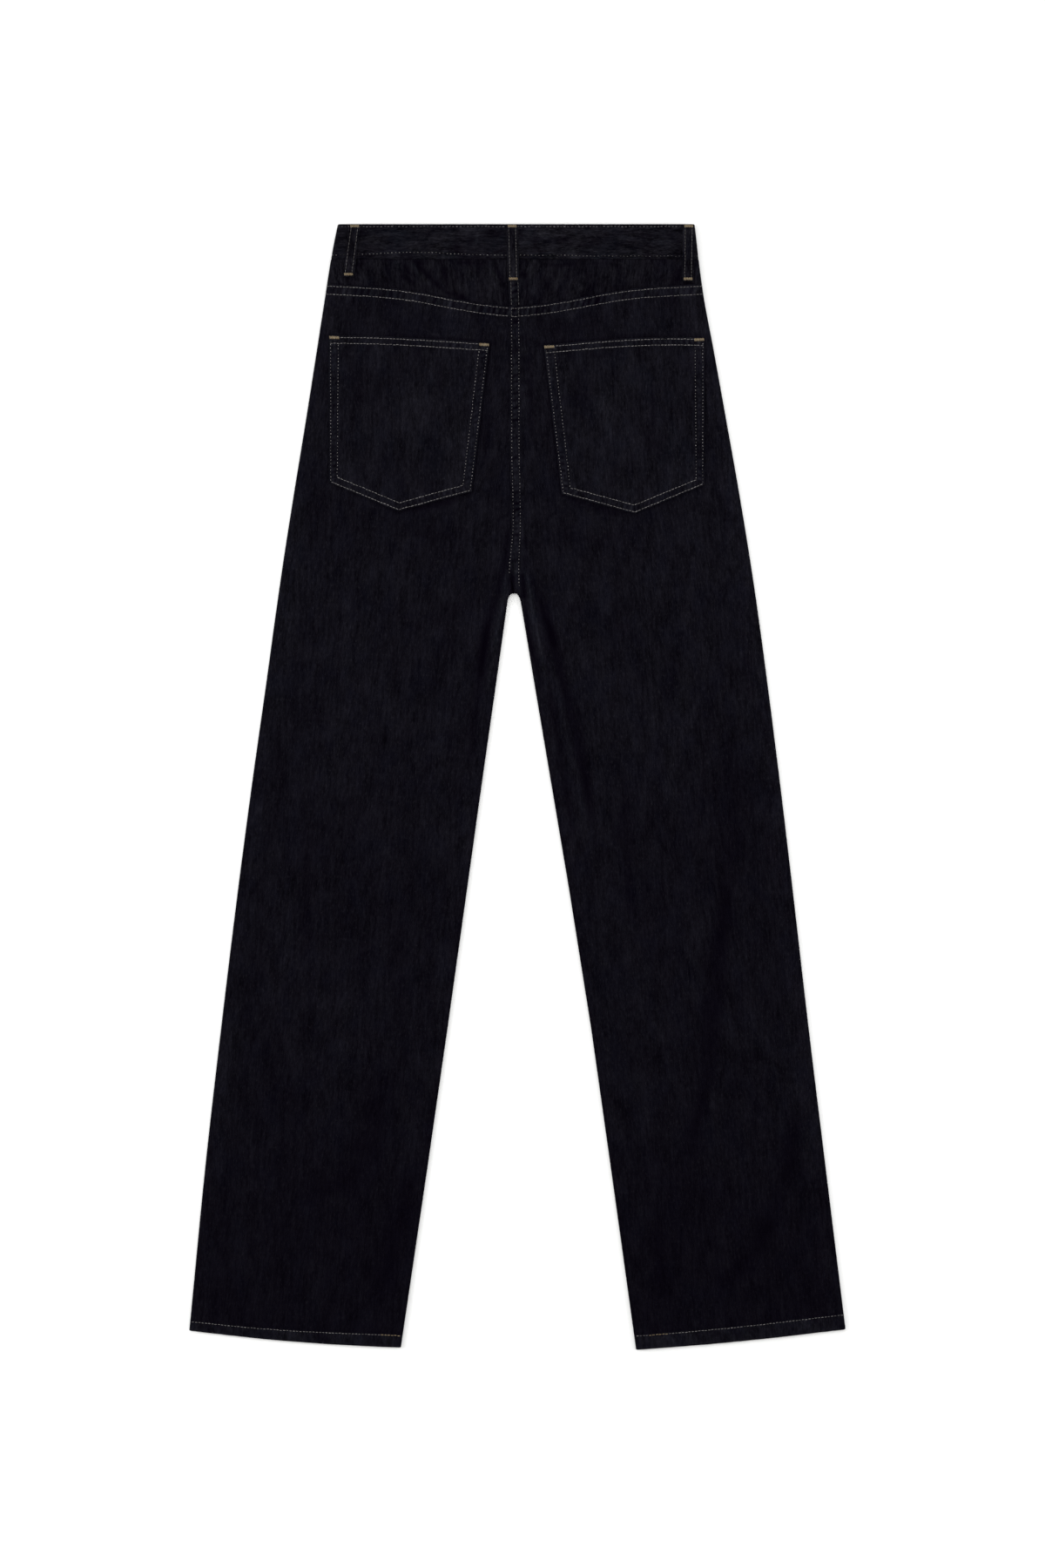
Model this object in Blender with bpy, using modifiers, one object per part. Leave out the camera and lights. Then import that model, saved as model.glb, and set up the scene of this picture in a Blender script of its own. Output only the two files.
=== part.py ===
"""Straight leg jeans laid flat, back side up, modelled for Blender 4.5.

X runs across the garment, +Y from the hems to the waist, and +Z up from the surface it lies on.
The two fronts lie on that surface, the two backs and yokes lie on the fronts, and the waistband
runs round both. Sizes below are in millimetres, and become metres as each mesh is made.
"""

from collections import namedtuple
from math import pi, radians

import bmesh
import bpy
import numpy as np

MM = 0.001

# Whole garment
LENGTH = 1098.2  # waist edge to the lowest point of the hems
BAND_DEPTH = 34.0
CROTCH = 360.0  # down from the waist edge
GAP = 0.3  # between neighbouring pieces

# Cloth
WALL = 1.1  # one layer of heavy denim
HEM_WALL = 2.0  # the turned hem
HEM_TURN = 11.0
HEM_STEP = 2.0  # the wall goes from one layer to the turned hem over this
BAND_WALL = 2.2
POCKET_WALL = 1.2
LOOP_WALL = 1.4

# Heights above the surface
BAND_FRONT = 2.2  # outer face of the waistband's front
BAND_BACK = 8.8  # outer face of the waistband's back
MIDDLE_HEIGHT = (BAND_FRONT + BAND_BACK) / 2  # the fronts' faces are below it at the waist
BAND_STEP = 0.55  # the panels sit this far in from the waistband's faces
FRONT_LANDS = 125.0  # from here down the fronts lie flat on the surface
EDGE_STRAIGHT = 0.3  # upright strip at a rolled edge, where two panels meet
EDGE_RIDGE = (8.0, 24.0)  # the seams inside an edge lift the cloth this far in, then fade out
EDGE_TURN = np.radians([0.0, 45.0, 90.0])  # where a rolled edge has its points
FLAT_EDGE = np.array([0.0, 0.4, 0.8, 1.2])  # the same points on an edge that isn't rolled

# Edges of the flat garment, as distances from the centre line X = 0
Edge = namedtuple("Edge", "down left right")
OUTER_EDGE = (
    Edge(0.0, -175.6, 173.0),
    Edge(34.0, -182.1, 176.8),
    Edge(70.0, -187.8, 181.8),
    Edge(121.0, -195.8, 191.4),
    Edge(189.0, -206.5, 203.7),
    Edge(257.0, -217.6, 215.8),
    Edge(325.0, -228.3, 227.0),
    Edge(376.0, -235.7, 234.6),
    Edge(445.0, -245.2, 243.9),
    Edge(547.0, -259.6, 256.8),
    Edge(649.0, -273.1, 268.9),
    Edge(785.0, -289.7, 284.6),
    Edge(921.0, -305.2, 301.2),
    Edge(1079.0, -320.6, 320.6),
)
INNER_EDGE = (
    Edge(361.0, -6.6, -0.3),
    Edge(363.0, -8.6, 1.5),
    Edge(367.0, -9.6, 2.9),
    Edge(376.0, -10.9, 4.5),
    Edge(445.0, -20.5, 16.0),
    Edge(547.0, -35.0, 33.2),
    Edge(649.0, -49.3, 50.4),
    Edge(785.0, -68.4, 72.0),
    Edge(921.0, -88.0, 91.2),
    Edge(1098.0, -114.2, 115.8),
)
# The hem falls from the outer edge to the inner edge, bowed a little
Hem = namedtuple("Hem", "across left right")
HEM = (
    Hem(0.0, 1079.4, 1078.1),
    Hem(0.4, 1088.4, 1087.6),
    Hem(0.7, 1093.0, 1093.4),
    Hem(1.0, 1096.0, 1098.2),
)
# The seat seam shows as the folded edge of the right side, which wanders a little between the
# waistband and the crotch
Seam = namedtuple("Seam", "down x")
SEAT_SEAM = (
    Seam(34.0, -9.0),
    Seam(95.0, -7.6),
    Seam(215.0, -7.4),
    Seam(290.0, -6.0),
    Seam(318.0, -7.2),
    Seam(335.0, -7.6),
    Seam(360.0, -3.4),
)
FRONT_SEAM_X = -3.2
# Depth of the yoke, from the waist edge to its lower seam, either side of its lowest point
YOKE_CENTRE = -2.6
Yoke = namedtuple("Yoke", "from_centre down")
YOKE = (
    Yoke(0.0, 80.4),
    Yoke(30.0, 77.2),
    Yoke(60.0, 72.4),
    Yoke(90.0, 66.6),
    Yoke(120.0, 62.4),
    Yoke(150.0, 60.2),
    Yoke(190.0, 58.2),
)
# Height of the cloth's upper face, in the middle of a panel and along its side edges
Height = namedtuple("Height", "down middle edge")
HEIGHT = (
    Height(34.0, 8.25, 8.25),
    Height(60.0, 7.3, 7.5),
    Height(90.0, 6.2, 6.6),
    Height(130.0, 5.3, 5.9),
    Height(200.0, 4.6, 5.3),
    Height(300.0, 4.0, 4.9),
    Height(361.0, 3.7, 4.8),
    Height(450.0, 3.3, 4.6),
    Height(700.0, 3.1, 4.5),
    Height(1010.0, 3.2, 4.5),
    Height(1067.0, 4.9, 5.2),
    Height(1098.0, 5.2, 5.2),
)
# Soft folds in the backs: a ridge runs from (x1, down1) to (x2, down2)
Fold = namedtuple("Fold", "x1 down1 x2 down2 reach height")
FOLDS = (
    Fold(222.0, 600.0, 178.0, 960.0, 26.0, 1.5),
    Fold(38.0, 400.0, 82.0, 640.0, 24.0, 1.2),
    Fold(-42.0, 400.0, -66.0, 560.0, 22.0, 1.0),
    Fold(-222.0, 560.0, -234.0, 780.0, 26.0, 1.0),
    Fold(236.0, 980.0, 176.0, 1050.0, 24.0, 0.9),
    Fold(-262.0, 1000.0, -170.0, 1030.0, 24.0, 0.8),
)

# Where each panel has a row of points, down from the waist edge
SEAT_ROWS = (85.0, 115.0, 165.0, 220.0, 275.0, 320.0, 345.0, 355.0)
FRONT_SEAT_ROWS = (200.0, 275.0, 345.0, 355.0)
CROTCH_ROWS = (359.5, 361.0, 363.0, 367.0)
BACK_LEG_ROWS = (385.0, 430.0, 490.0, 550.0, 610.0, 670.0, 730.0, 795.0, 860.0, 920.0, 980.0, 1035.0)
FRONT_LEG_ROWS = (400.0, 520.0, 650.0, 785.0, 920.0, 1035.0)
BACK_COLUMNS = 7  # points across the middle of a row
FRONT_COLUMNS = 3
YOKE_EASE = 245.0  # rows are level again from here
HEM_EASE = 900.0  # rows start to follow the hem from here
ROLL_UNDER = (338.0, 365.0)  # over this stretch the seat rolls under, down to the crotch

# Back pocket, drawn on its mouth: across towards the seat seam, and down
POCKET_MOUTH = 78.4  # half its width
POCKET_OUTER = (-71.9, 143.2)
POCKET_TIP = (-2.9, 168.1)
POCKET_INNER = (67.6, 145.5)
POCKET_TILT = radians(2.6)
POCKET_COLUMNS = (-1.0, -0.88, -0.68, -0.36, -0.037, 0.3, 0.62, 0.84, 1.0)  # of half the mouth
POCKET_ROWS = 9
Pocket = namedtuple("Pocket", "side x down bow")  # bow: how far the mouth rises between its corners
POCKETS = (Pocket("left", -105.6, 112.2, 1.6), Pocket("right", 104.1, 114.5, 3.0))

# Hand pocket in each front: a quarter ellipse from the side edge up to the waistband
SCOOP_WIDTH = 92.0
SCOOP_DEPTH = 96.0
SCOOP_TURNS = np.radians([10.0, 24.0, 40.0, 58.0, 74.0, 90.0])
POCKET_STEP = 6.0  # below the pocket's end the front reaches the side edge again
FACING_REST = 0.8  # the facing sits this far in

# Belt loops, from just under the waist edge to below the waistband
Loop = namedtuple("Loop", "name face top_x bottom_x bottom")
LOOPS = (
    Loop("belt_loop_back_centre", "back", -3.9, -3.9, 57.0),
    Loop("belt_loop_back_left", "back", -158.6, -165.2, 51.5),
    Loop("belt_loop_back_right", "back", 167.0, 166.4, 53.0),
    Loop("belt_loop_front_left", "front", -86.0, -88.0, 52.0),
    Loop("belt_loop_front_right", "front", 80.0, 82.0, 52.0),
)
LOOP_WIDTH = 11.2
LOOP_TOP = 0.8
LOOP_ARCH = 0.5
LOOP_CLEAR = 2.0  # it stays at the waistband's height this far past its lower edge
LOOP_ROWS = 9

# Front closure
BAND_END_X = 16.0  # the waistband's two ends meet here
BAND_TURN_POINTS = 9  # round each side of the waistband
BAND_FRONT_POINTS = 7  # along each half of its front
BAND_BACK_POINTS = 12  # along its back
FLY_TOP = 4.0  # the zip and its shield stop this far below the waistband
FLY_BOTTOM = 190.0
FLY_ROWS = 9
ZIP_WIDTH = 26.0
ZIP_WALL = 0.7
SHIELD_WIDTH = 40.0
SHIELD_WALL = 0.9
SHIELD_LONGER = 8.0
BUTTON_SIDES = 24
BUTTON_PROFILE = (  # radius and height, from the middle of its top round to the dish below
    (0.0, 1.85),
    (7.4, 1.85),
    (8.5, 1.3),
    (8.5, 0.7),
    (7.6, 0.0),
    (6.4, 0.0),
    (5.6, 0.35),
    (0.0, 0.35),
)

DENIM = ("#15141d", 0.9, 0.0)
DENIM_LIGHTER = ("#1a1922", 0.9, 0.0)
ZIP_TAPE = ("#17181f", 0.8, 0.0)
AGED_BRASS = ("#8a6f45", 0.4, 0.9)


def along(table, column, at, key="down"):
    """Smooth value of one column of a table, by cubic pieces that never overshoot its rows.

    The slope at a row is the harmonic mean of the slopes on its two sides, or 0 at a turn.
    """
    where = np.array([getattr(row, key) for row in table])
    values = np.array([getattr(row, column) for row in table])
    rises = np.diff(values) / np.diff(where)
    before, after = rises[:-1], rises[1:]
    same_way = before * after > 0
    mean = 2 * before * after / np.where(same_way, before + after, 1.0)
    slopes = np.concatenate([rises[:1], np.where(same_way, mean, 0.0), rises[-1:]])
    at = np.clip(at, where[0], where[-1])
    i = np.clip(np.searchsorted(where, at, side="right") - 1, 0, len(where) - 2)
    span = where[i + 1] - where[i]
    t = (at - where[i]) / span
    start = values[i] * (1 + 2 * t) * (1 - t) ** 2 + slopes[i] * span * t * (1 - t) ** 2
    end = values[i + 1] * t * t * (3 - 2 * t) - slopes[i + 1] * span * t * t * (1 - t)
    return start + end


def ease(start, end, at):
    """0 before start, 1 after end, and a soft S between them."""
    t = np.clip((at - start) / (end - start), 0.0, 1.0)
    return t * t * (3 - 2 * t)


def roll_under(down):
    """0 on the seat, where left and right meet edge to edge, and 1 in the legs."""
    return ease(*ROLL_UNDER, down)


def front_rise(down):
    """Height of the fronts' outer face: they lift off the surface only near the waistband."""
    return (BAND_FRONT + BAND_STEP) * (1 - ease(BAND_DEPTH, FRONT_LANDS, down))


def outer_x(side, down):
    return along(OUTER_EDGE, side, down)


def seat_seam_x(down):
    return along(SEAT_SEAM, "x", down)


def inner_x(side, down, seam_x):
    """Inner end of a panel: half a gap from the centre seam, or the leg's own inner edge."""
    outward = -1 if side == "left" else 1
    rows = [row.down for row in INNER_EDGE]
    edge = np.interp(down, rows, [getattr(row, side) for row in INNER_EDGE])
    return np.where(down < CROTCH, seam_x + outward * GAP / 2, edge)


def yoke_down(x):
    """How far down the yoke's lower seam is, at any x."""
    return along(YOKE, "down", np.abs(x - YOKE_CENTRE), "from_centre")


def fold_height(x, down):
    """Sum of the soft folds: each fades across its reach and towards both its ends."""
    total = np.zeros(np.broadcast(x, down).shape)
    for fold in FOLDS:
        run = np.array([fold.x2 - fold.x1, fold.down2 - fold.down1])
        length = np.hypot(*run)
        ahead = ((x - fold.x1) * run[0] + (down - fold.down1) * run[1]) / length
        aside = ((x - fold.x1) * run[1] - (down - fold.down1) * run[0]) / length
        ends = ease(0, 0.3 * length, ahead) * (1 - ease(0.7 * length, length, ahead))
        total = total + fold.height * ends * np.exp(-((aside / fold.reach) ** 2) * 2)
    return total


def back_face(side, x, down):
    """Height of the backs' upper face at any point on them."""
    middle = along(HEIGHT, "middle", down)
    lift = along(HEIGHT, "edge", down) - middle
    from_outer = np.abs(x - outer_x(side, down))
    from_inner = np.abs(x - inner_x(side, down, seat_seam_x(down)))
    ridge = 1 - ease(*EDGE_RIDGE, from_outer)
    ridge = np.maximum(ridge, roll_under(down) * (1 - ease(*EDGE_RIDGE, from_inner)))
    return middle + lift * ridge + fold_height(x, down)


def seam_height(down):
    """Height at which fronts and backs meet along the side edges."""
    return (front_rise(down) + along(HEIGHT, "edge", down)) / 2


def rolled_edge(rise, curl):
    """Inset and drop of an edge's points: a quarter circle that ends in an upright strip.

    curl goes from 0, a flat edge, to 1, the whole roll.
    """
    radius = rise - EDGE_STRAIGHT
    inset = radius * (1 - np.cos(EDGE_TURN))
    drop = radius * (1 - np.sin(EDGE_TURN))
    inset = np.concatenate([[0.0], inset])
    drop = np.concatenate([[rise], drop])
    return curl * inset + (1 - curl) * FLAT_EDGE, curl * drop


def rows_to_mesh(name, rows, from_height=0.0):
    """Joins rows of points into an open surface whose faces point away from a level plane.

    The plane's height is in millimetres. A piece above it faces up, and one below it down.
    """
    bm = bmesh.new()
    lines = [[bm.verts.new(np.array(point) * MM) for point in row] for row in rows]
    for above, below in zip(lines, lines[1:]):
        for i in range(len(above) - 1):
            bm.faces.new((above[i], above[i + 1], below[i + 1], below[i]))
    bm.normal_update()
    away = 0.0
    for face in bm.faces:
        away += face.normal.z * face.calc_area() * (face.calc_center_median().z - from_height * MM)
    if away < 0:
        bmesh.ops.reverse_faces(bm, faces=bm.faces)
    mesh = bpy.data.meshes.new(name)
    bm.to_mesh(mesh)
    bm.free()
    return mesh


def srgb_to_linear(code):
    parts = [int(code[i : i + 2], 16) / 255 for i in (1, 3, 5)]
    return [c / 12.92 if c <= 0.04045 else ((c + 0.055) / 1.055) ** 2.4 for c in parts] + [1.0]


def add_part(name, mesh, finish, collection):
    """Links one named piece, with a material of its own."""
    obj = bpy.data.objects.new(name, mesh)
    collection.objects.link(obj)
    code, roughness, metallic = finish
    material = bpy.data.materials.new(name)
    material.use_nodes = True
    shader = material.node_tree.nodes["Principled BSDF"]
    shader.inputs["Base Color"].default_value = srgb_to_linear(code)
    shader.inputs["Roughness"].default_value = roughness
    shader.inputs["Metallic"].default_value = metallic
    mesh.materials.append(material)
    return obj


def add_wall(obj, thickness, offset=-1.0):
    """Gives an open surface its thickness, inwards from its outer face unless offset is 1."""
    wall = obj.modifiers.new("wall", "SOLIDIFY")
    wall.thickness = thickness * MM
    wall.offset = offset
    wall.use_even_offset = True
    return wall


def panel_row(side, face, outer, inner, base, curls, ridges, middles):
    """One row of points across a panel, from its outer edge to its inner edge.

    outer and inner are (x, down) of the row's two ends, base is the face's height as a function
    of x and down, curls says how far each end is rolled towards the other layer, ridges are the
    insets of the points that follow the seams inside an edge, and middles counts the rest.
    """
    toward = 1 if side == "left" else -1
    rolls = []
    for (x, down), curl in ((outer, curls[0]), (inner, curls[1])):
        meet = seam_height(down) + (GAP / 2 if face == "back" else -GAP / 2)
        rolls.append(rolled_edge(abs(float(base(x, down) - meet)), curl))
    (outer_in, outer_drop), (inner_in, inner_drop) = rolls
    width = abs(inner[0] - outer[0])
    first = ridges[-1] if ridges else min(EDGE_RIDGE[0], width / 4)
    middle = np.linspace(first, width - first, middles)
    near = np.array(ridges[:-1])
    inset = np.concatenate([outer_in, near, middle, width - near[::-1], width - inner_in[::-1]])
    drop = np.zeros(len(inset))
    drop[: len(outer_drop)] = outer_drop
    drop[-len(inner_drop) :] = inner_drop[::-1]
    x = outer[0] + toward * inset
    down = outer[1] + (inner[1] - outer[1]) * inset / width
    return x, down, drop


def face_rows(side, face, rows, base, bend, curl_outer=1.0, ridges=(), middles=FRONT_COLUMNS):
    """Points of a whole panel. rows are (outer, inner) ends, and bend shapes a row's down."""
    sign = -1 if face == "back" else 1
    curl_outer = np.broadcast_to(curl_outer, len(rows))
    points = []
    for (outer, inner), curl in zip(rows, curl_outer):
        curls = (curl, float(roll_under(inner[1])))
        x, down, drop = panel_row(side, face, outer, inner, base, curls, ridges, middles)
        down = bend(x, down, outer, inner)
        points.append(np.stack([x, LENGTH / 2 - down, base(x, down) + sign * drop], axis=1))
    return points


def level(x, down, outer, inner):
    """A row that stays straight."""
    return down


def row_ends(side, outer_down, inner_down, seam_x):
    """Where a row starts and stops: its (x, down) on the outer edge and on the inner edge."""
    outer = (float(outer_x(side, outer_down)), float(outer_down))
    inner = (float(inner_x(side, inner_down, seam_x)), float(inner_down))
    return outer, inner


def level_rows(side, levels, seam_x):
    return [row_ends(side, down, down, seam_x(down)) for down in levels]


def hem_down(side, across):
    return along(HEM, side, across, "across")


def hem_rows(side, levels, seam_x):
    """Ends of the rows down to the hem: they swing from level to the hem's own slope."""
    slope = float(hem_down(side, 1.0) - hem_down(side, 0.0))
    end = float(hem_down(side, 0.0))
    downs = list(levels) + [end - HEM_TURN - HEM_STEP, end - HEM_TURN, end]
    swings = [slope * float(ease(HEM_EASE, downs[-3], down)) for down in downs]
    return [
        row_ends(side, down, down + swing, seam_x(down)) for down, swing in zip(downs, swings)
    ]


def hem_bow(side, x, down, outer, inner):
    """How far the hem's curve hangs below the straight line between its ends."""
    across = (x - outer[0]) / (inner[0] - outer[0])
    straight = hem_down(side, 0.0) + (hem_down(side, 1.0) - hem_down(side, 0.0)) * across
    return (hem_down(side, across) - straight) * ease(HEM_EASE, hem_down(side, 0.0), outer[1])


def thicken_hem(obj, rows, columns):
    """A panel's wall: one layer of cloth, and the turned hem along its last two rows."""
    group = obj.vertex_groups.new(name="wall")
    for row in range(rows):
        wall = HEM_WALL if row >= rows - 2 else WALL
        group.add(list(range(row * columns, (row + 1) * columns)), wall / HEM_WALL, "REPLACE")
    solid = add_wall(obj, HEM_WALL)
    solid.vertex_group = "wall"


def yoke_end(side):
    """How far down the yoke's seam meets the side edge."""
    return float(yoke_down(outer_x(side, YOKE[-1].down)))


def make_back_panel(side, collection):
    """Back leg panel, from the yoke's seam over the seat and down to the hem."""
    start = yoke_end(side)

    def base(x, down):
        return back_face(side, x, down)

    def bend(x, down, outer, inner):
        follow = 1 - ease(start, YOKE_EASE, down)
        below_seam = follow * (yoke_down(x) + GAP / 2 - start)
        return down + below_seam + hem_bow(side, x, down, outer, inner)

    rows = level_rows(side, (start,) + SEAT_ROWS + CROTCH_ROWS, seat_seam_x)
    rows += hem_rows(side, BACK_LEG_ROWS, seat_seam_x)
    points = face_rows(side, "back", rows, base, bend, ridges=EDGE_RIDGE, middles=BACK_COLUMNS)
    mesh = rows_to_mesh("back", points)
    panel = add_part(f"back_panel_{side}", mesh, DENIM, collection)
    thicken_hem(panel, len(points), len(points[0]))


def make_yoke(side, collection):
    """Back yoke, between the waistband and the back panel."""
    start = BAND_DEPTH + GAP
    end = yoke_end(side)

    def base(x, down):
        return back_face(side, x, down)

    def bend(x, down, outer, inner):
        return start + (yoke_down(x) - GAP / 2 - start) * (down - start) / (end - start)

    rows = level_rows(side, np.linspace(start, end, 4), seat_seam_x)
    points = face_rows(side, "back", rows, base, bend, ridges=EDGE_RIDGE, middles=BACK_COLUMNS)
    mesh = rows_to_mesh("yoke", points)
    add_wall(add_part(f"yoke_{side}", mesh, DENIM, collection), WALL)


def front_seam_x(_):
    return FRONT_SEAM_X


def scoop(side):
    """Points (x, down) of the hand pocket's edge, from low on the side edge to the waistband."""
    toward = 1 if side == "left" else -1
    down = BAND_DEPTH + GAP + SCOOP_DEPTH * np.cos(SCOOP_TURNS)
    return outer_x(side, down) + toward * SCOOP_WIDTH * np.sin(SCOOP_TURNS), down


def make_front(side, collection):
    """Front leg panel and the pocket facing that fills the corner cut from it."""
    toward = 1 if side == "left" else -1

    def base(x, down):
        return front_rise(down) + 0.0 * x

    def facing_base(x, down):
        return base(x, down) + FACING_REST

    def bend(x, down, outer, inner):
        return down + hem_bow(side, x, down, outer, inner)

    pocket_rows = []
    facing_rows = []
    for x, down in zip(*scoop(side)):
        inner = (float(inner_x(side, down, FRONT_SEAM_X)), down)
        pocket_rows.insert(0, ((x, down), inner))
        facing_rows.insert(0, ((float(outer_x(side, down)), down), (x - toward * GAP, down)))
    below = pocket_rows[-1][0][1] + POCKET_STEP
    rows = pocket_rows + level_rows(side, (below,) + FRONT_SEAT_ROWS + CROTCH_ROWS, front_seam_x)
    rows += hem_rows(side, FRONT_LEG_ROWS, front_seam_x)
    curls = [0.0] * len(pocket_rows) + [1.0] * (len(rows) - len(pocket_rows))
    points = face_rows(side, "front", rows, base, bend, curls)
    mesh = rows_to_mesh("front", points, MIDDLE_HEIGHT)
    panel = add_part(f"front_panel_{side}", mesh, DENIM, collection)
    thicken_hem(panel, len(points), len(points[0]))
    points = face_rows(side, "front", facing_rows, facing_base, level)
    mesh = rows_to_mesh("facing", points, MIDDLE_HEIGHT)
    add_wall(add_part(f"pocket_facing_{side}", mesh, DENIM_LIGHTER, collection), WALL)


def make_back_pocket(pocket, collection):
    """Five-sided patch pocket: the back panel's own surface inside its outline, moved out."""
    toward = 1 if pocket.side == "left" else -1
    mouth = np.array(POCKET_COLUMNS) * POCKET_MOUTH
    corners = np.array([POCKET_OUTER, POCKET_TIP, POCKET_INNER]).T
    foot, foot_down = (np.interp(mouth, (mouth[0], corners[0][1], mouth[-1]), c) for c in corners)
    rise = pocket.bow * np.sin(pi * ((mouth + POCKET_MOUTH) / (2 * POCKET_MOUTH)) ** 0.8)
    points = []
    for step in np.linspace(0.0, 1.0, POCKET_ROWS):
        u = mouth + (foot - mouth) * step
        v = foot_down * step - rise * (1 - step)
        x = pocket.x + toward * (u * np.cos(POCKET_TILT) - v * np.sin(POCKET_TILT))
        down = pocket.down + u * np.sin(POCKET_TILT) + v * np.cos(POCKET_TILT)
        z = back_face(pocket.side, x, down) + GAP + POCKET_WALL
        points.append(np.stack([x, LENGTH / 2 - down, z], axis=1))
    mesh = rows_to_mesh("pocket", points)
    add_wall(add_part(f"back_pocket_{pocket.side}", mesh, DENIM_LIGHTER, collection), POCKET_WALL)


def waistband_path(down):
    """Outer face of the waistband at one height: (x, z) from its left end all the way round."""
    radius = (BAND_BACK - BAND_FRONT) / 2
    turn = np.radians(np.linspace(-90.0, 90.0, BAND_TURN_POINTS))
    left = float(outer_x("left", down)) + radius
    right = float(outer_x("right", down)) - radius
    stretches = (
        (np.linspace(BAND_END_X - GAP / 2, left, BAND_FRONT_POINTS)[:-1], -90.0),
        (left - radius * np.cos(turn), turn),
        (np.linspace(left, right, BAND_BACK_POINTS)[1:-1], 90.0),
        (right + radius * np.cos(turn), turn[::-1]),
        (np.linspace(right, BAND_END_X + GAP / 2, BAND_FRONT_POINTS)[1:], -90.0),
    )
    x = np.concatenate([across for across, _ in stretches])
    lean = np.concatenate(
        [np.full(len(across), radians(at)) if np.isscalar(at) else at for across, at in stretches]
    )
    return x, (BAND_BACK + BAND_FRONT) / 2 + radius * np.sin(lean)


def make_waistband(collection):
    """One strip that runs from the front opening round the left side, the back and the right."""
    points = []
    for down in (BAND_DEPTH, BAND_DEPTH / 2, 0.0):
        x, z = waistband_path(down)
        points.append(np.stack([x, np.full(len(x), LENGTH / 2 - down), z], axis=1))
    mesh = rows_to_mesh("waistband", points, MIDDLE_HEIGHT)
    add_wall(add_part("waistband", mesh, DENIM_LIGHTER, collection), BAND_WALL)


def make_loop(loop, collection):
    """Belt loop: a strap from the top of the waistband to below it, arched a little."""
    steps = np.linspace(0.0, 1.0, LOOP_ROWS)
    down = LOOP_TOP + (loop.bottom - LOOP_TOP) * steps
    x = loop.top_x + (loop.bottom_x - loop.top_x) * steps
    on_band = down < BAND_DEPTH + LOOP_CLEAR
    arch = GAP + LOOP_ARCH * np.sin(pi * steps)
    if loop.face == "back":
        side = "left" if loop.bottom_x < 0 else "right"
        z = np.where(on_band, BAND_BACK, back_face(side, x, down)) + arch
    else:
        z = np.where(on_band, BAND_FRONT, front_rise(down)) - arch
    half = LOOP_WIDTH / 2
    points = [
        np.stack([x + aside, LENGTH / 2 - down, z], axis=1) for aside in (-half, 0.0, half)
    ]
    mesh = rows_to_mesh("loop", points, MIDDLE_HEIGHT)
    add_wall(add_part(loop.name, mesh, DENIM, collection), LOOP_WALL, 1.0)


def make_inner_strip(name, width, low, thickness, finish, bottom, collection):
    """A flat strip inside the fly, at a height above the fronts' outer face."""
    x = FRONT_SEAM_X + width * np.array([-0.5, 0.0, 0.5])
    points = []
    for down in np.linspace(BAND_DEPTH + FLY_TOP, bottom, FLY_ROWS):
        points.append([(across, LENGTH / 2 - down, front_rise(down) + low) for across in x])
    mesh = rows_to_mesh(name, points)
    add_wall(add_part(name, mesh, finish, collection), thickness, 1.0)


def make_button(collection):
    """Shank button at the front of the waistband: a turned cap whose dished face points down."""
    mesh = bpy.data.meshes.new("button")
    profile = [(radius * MM, 0.0, height * MM) for radius, height in BUTTON_PROFILE]
    mesh.from_pydata(profile, [(i, i + 1) for i in range(len(profile) - 1)], [])
    button = add_part("waist_button", mesh, AGED_BRASS, collection)
    button.location = (FRONT_SEAM_X * MM, (LENGTH / 2 - BAND_DEPTH / 2) * MM, 0.0)
    turned = button.modifiers.new("turned", "SCREW")
    turned.steps = BUTTON_SIDES
    turned.render_steps = BUTTON_SIDES
    turned.use_merge_vertices = True
    turned.merge_threshold = 0.00001


def build_jeans():
    """Clears the scene and builds every piece of the jeans."""
    for obj in list(bpy.data.objects):
        bpy.data.objects.remove(obj)
    collection = bpy.data.collections.new("straight_leg_jeans")
    bpy.context.scene.collection.children.link(collection)
    for side in ("left", "right"):
        make_back_panel(side, collection)
        make_yoke(side, collection)
        make_front(side, collection)
    for pocket in POCKETS:
        make_back_pocket(pocket, collection)
    make_waistband(collection)
    for loop in LOOPS:
        make_loop(loop, collection)
    low = WALL + GAP
    make_inner_strip("zip", ZIP_WIDTH, low, ZIP_WALL, ZIP_TAPE, FLY_BOTTOM, collection)
    low += ZIP_WALL + GAP
    bottom = FLY_BOTTOM + SHIELD_LONGER
    make_inner_strip("fly_shield", SHIELD_WIDTH, low, SHIELD_WALL, DENIM, bottom, collection)
    make_button(collection)


build_jeans()
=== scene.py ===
# %% [markdown]
# # Straight leg jeans, laid flat with the back up
#
# A pair of jeans is a kit of flat cloth pieces joined by folded seams. Here each cut piece of denim
# becomes one closed shell of cloth, and every stitch that holds them together is a small mesh of
# its own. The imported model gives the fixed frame: +X is the wearer's right, +Y runs from the hems
# to the waist, and +Z is up from the surface that the garment lies on.

# %% Load the fixed frame
from collections import namedtuple

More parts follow.
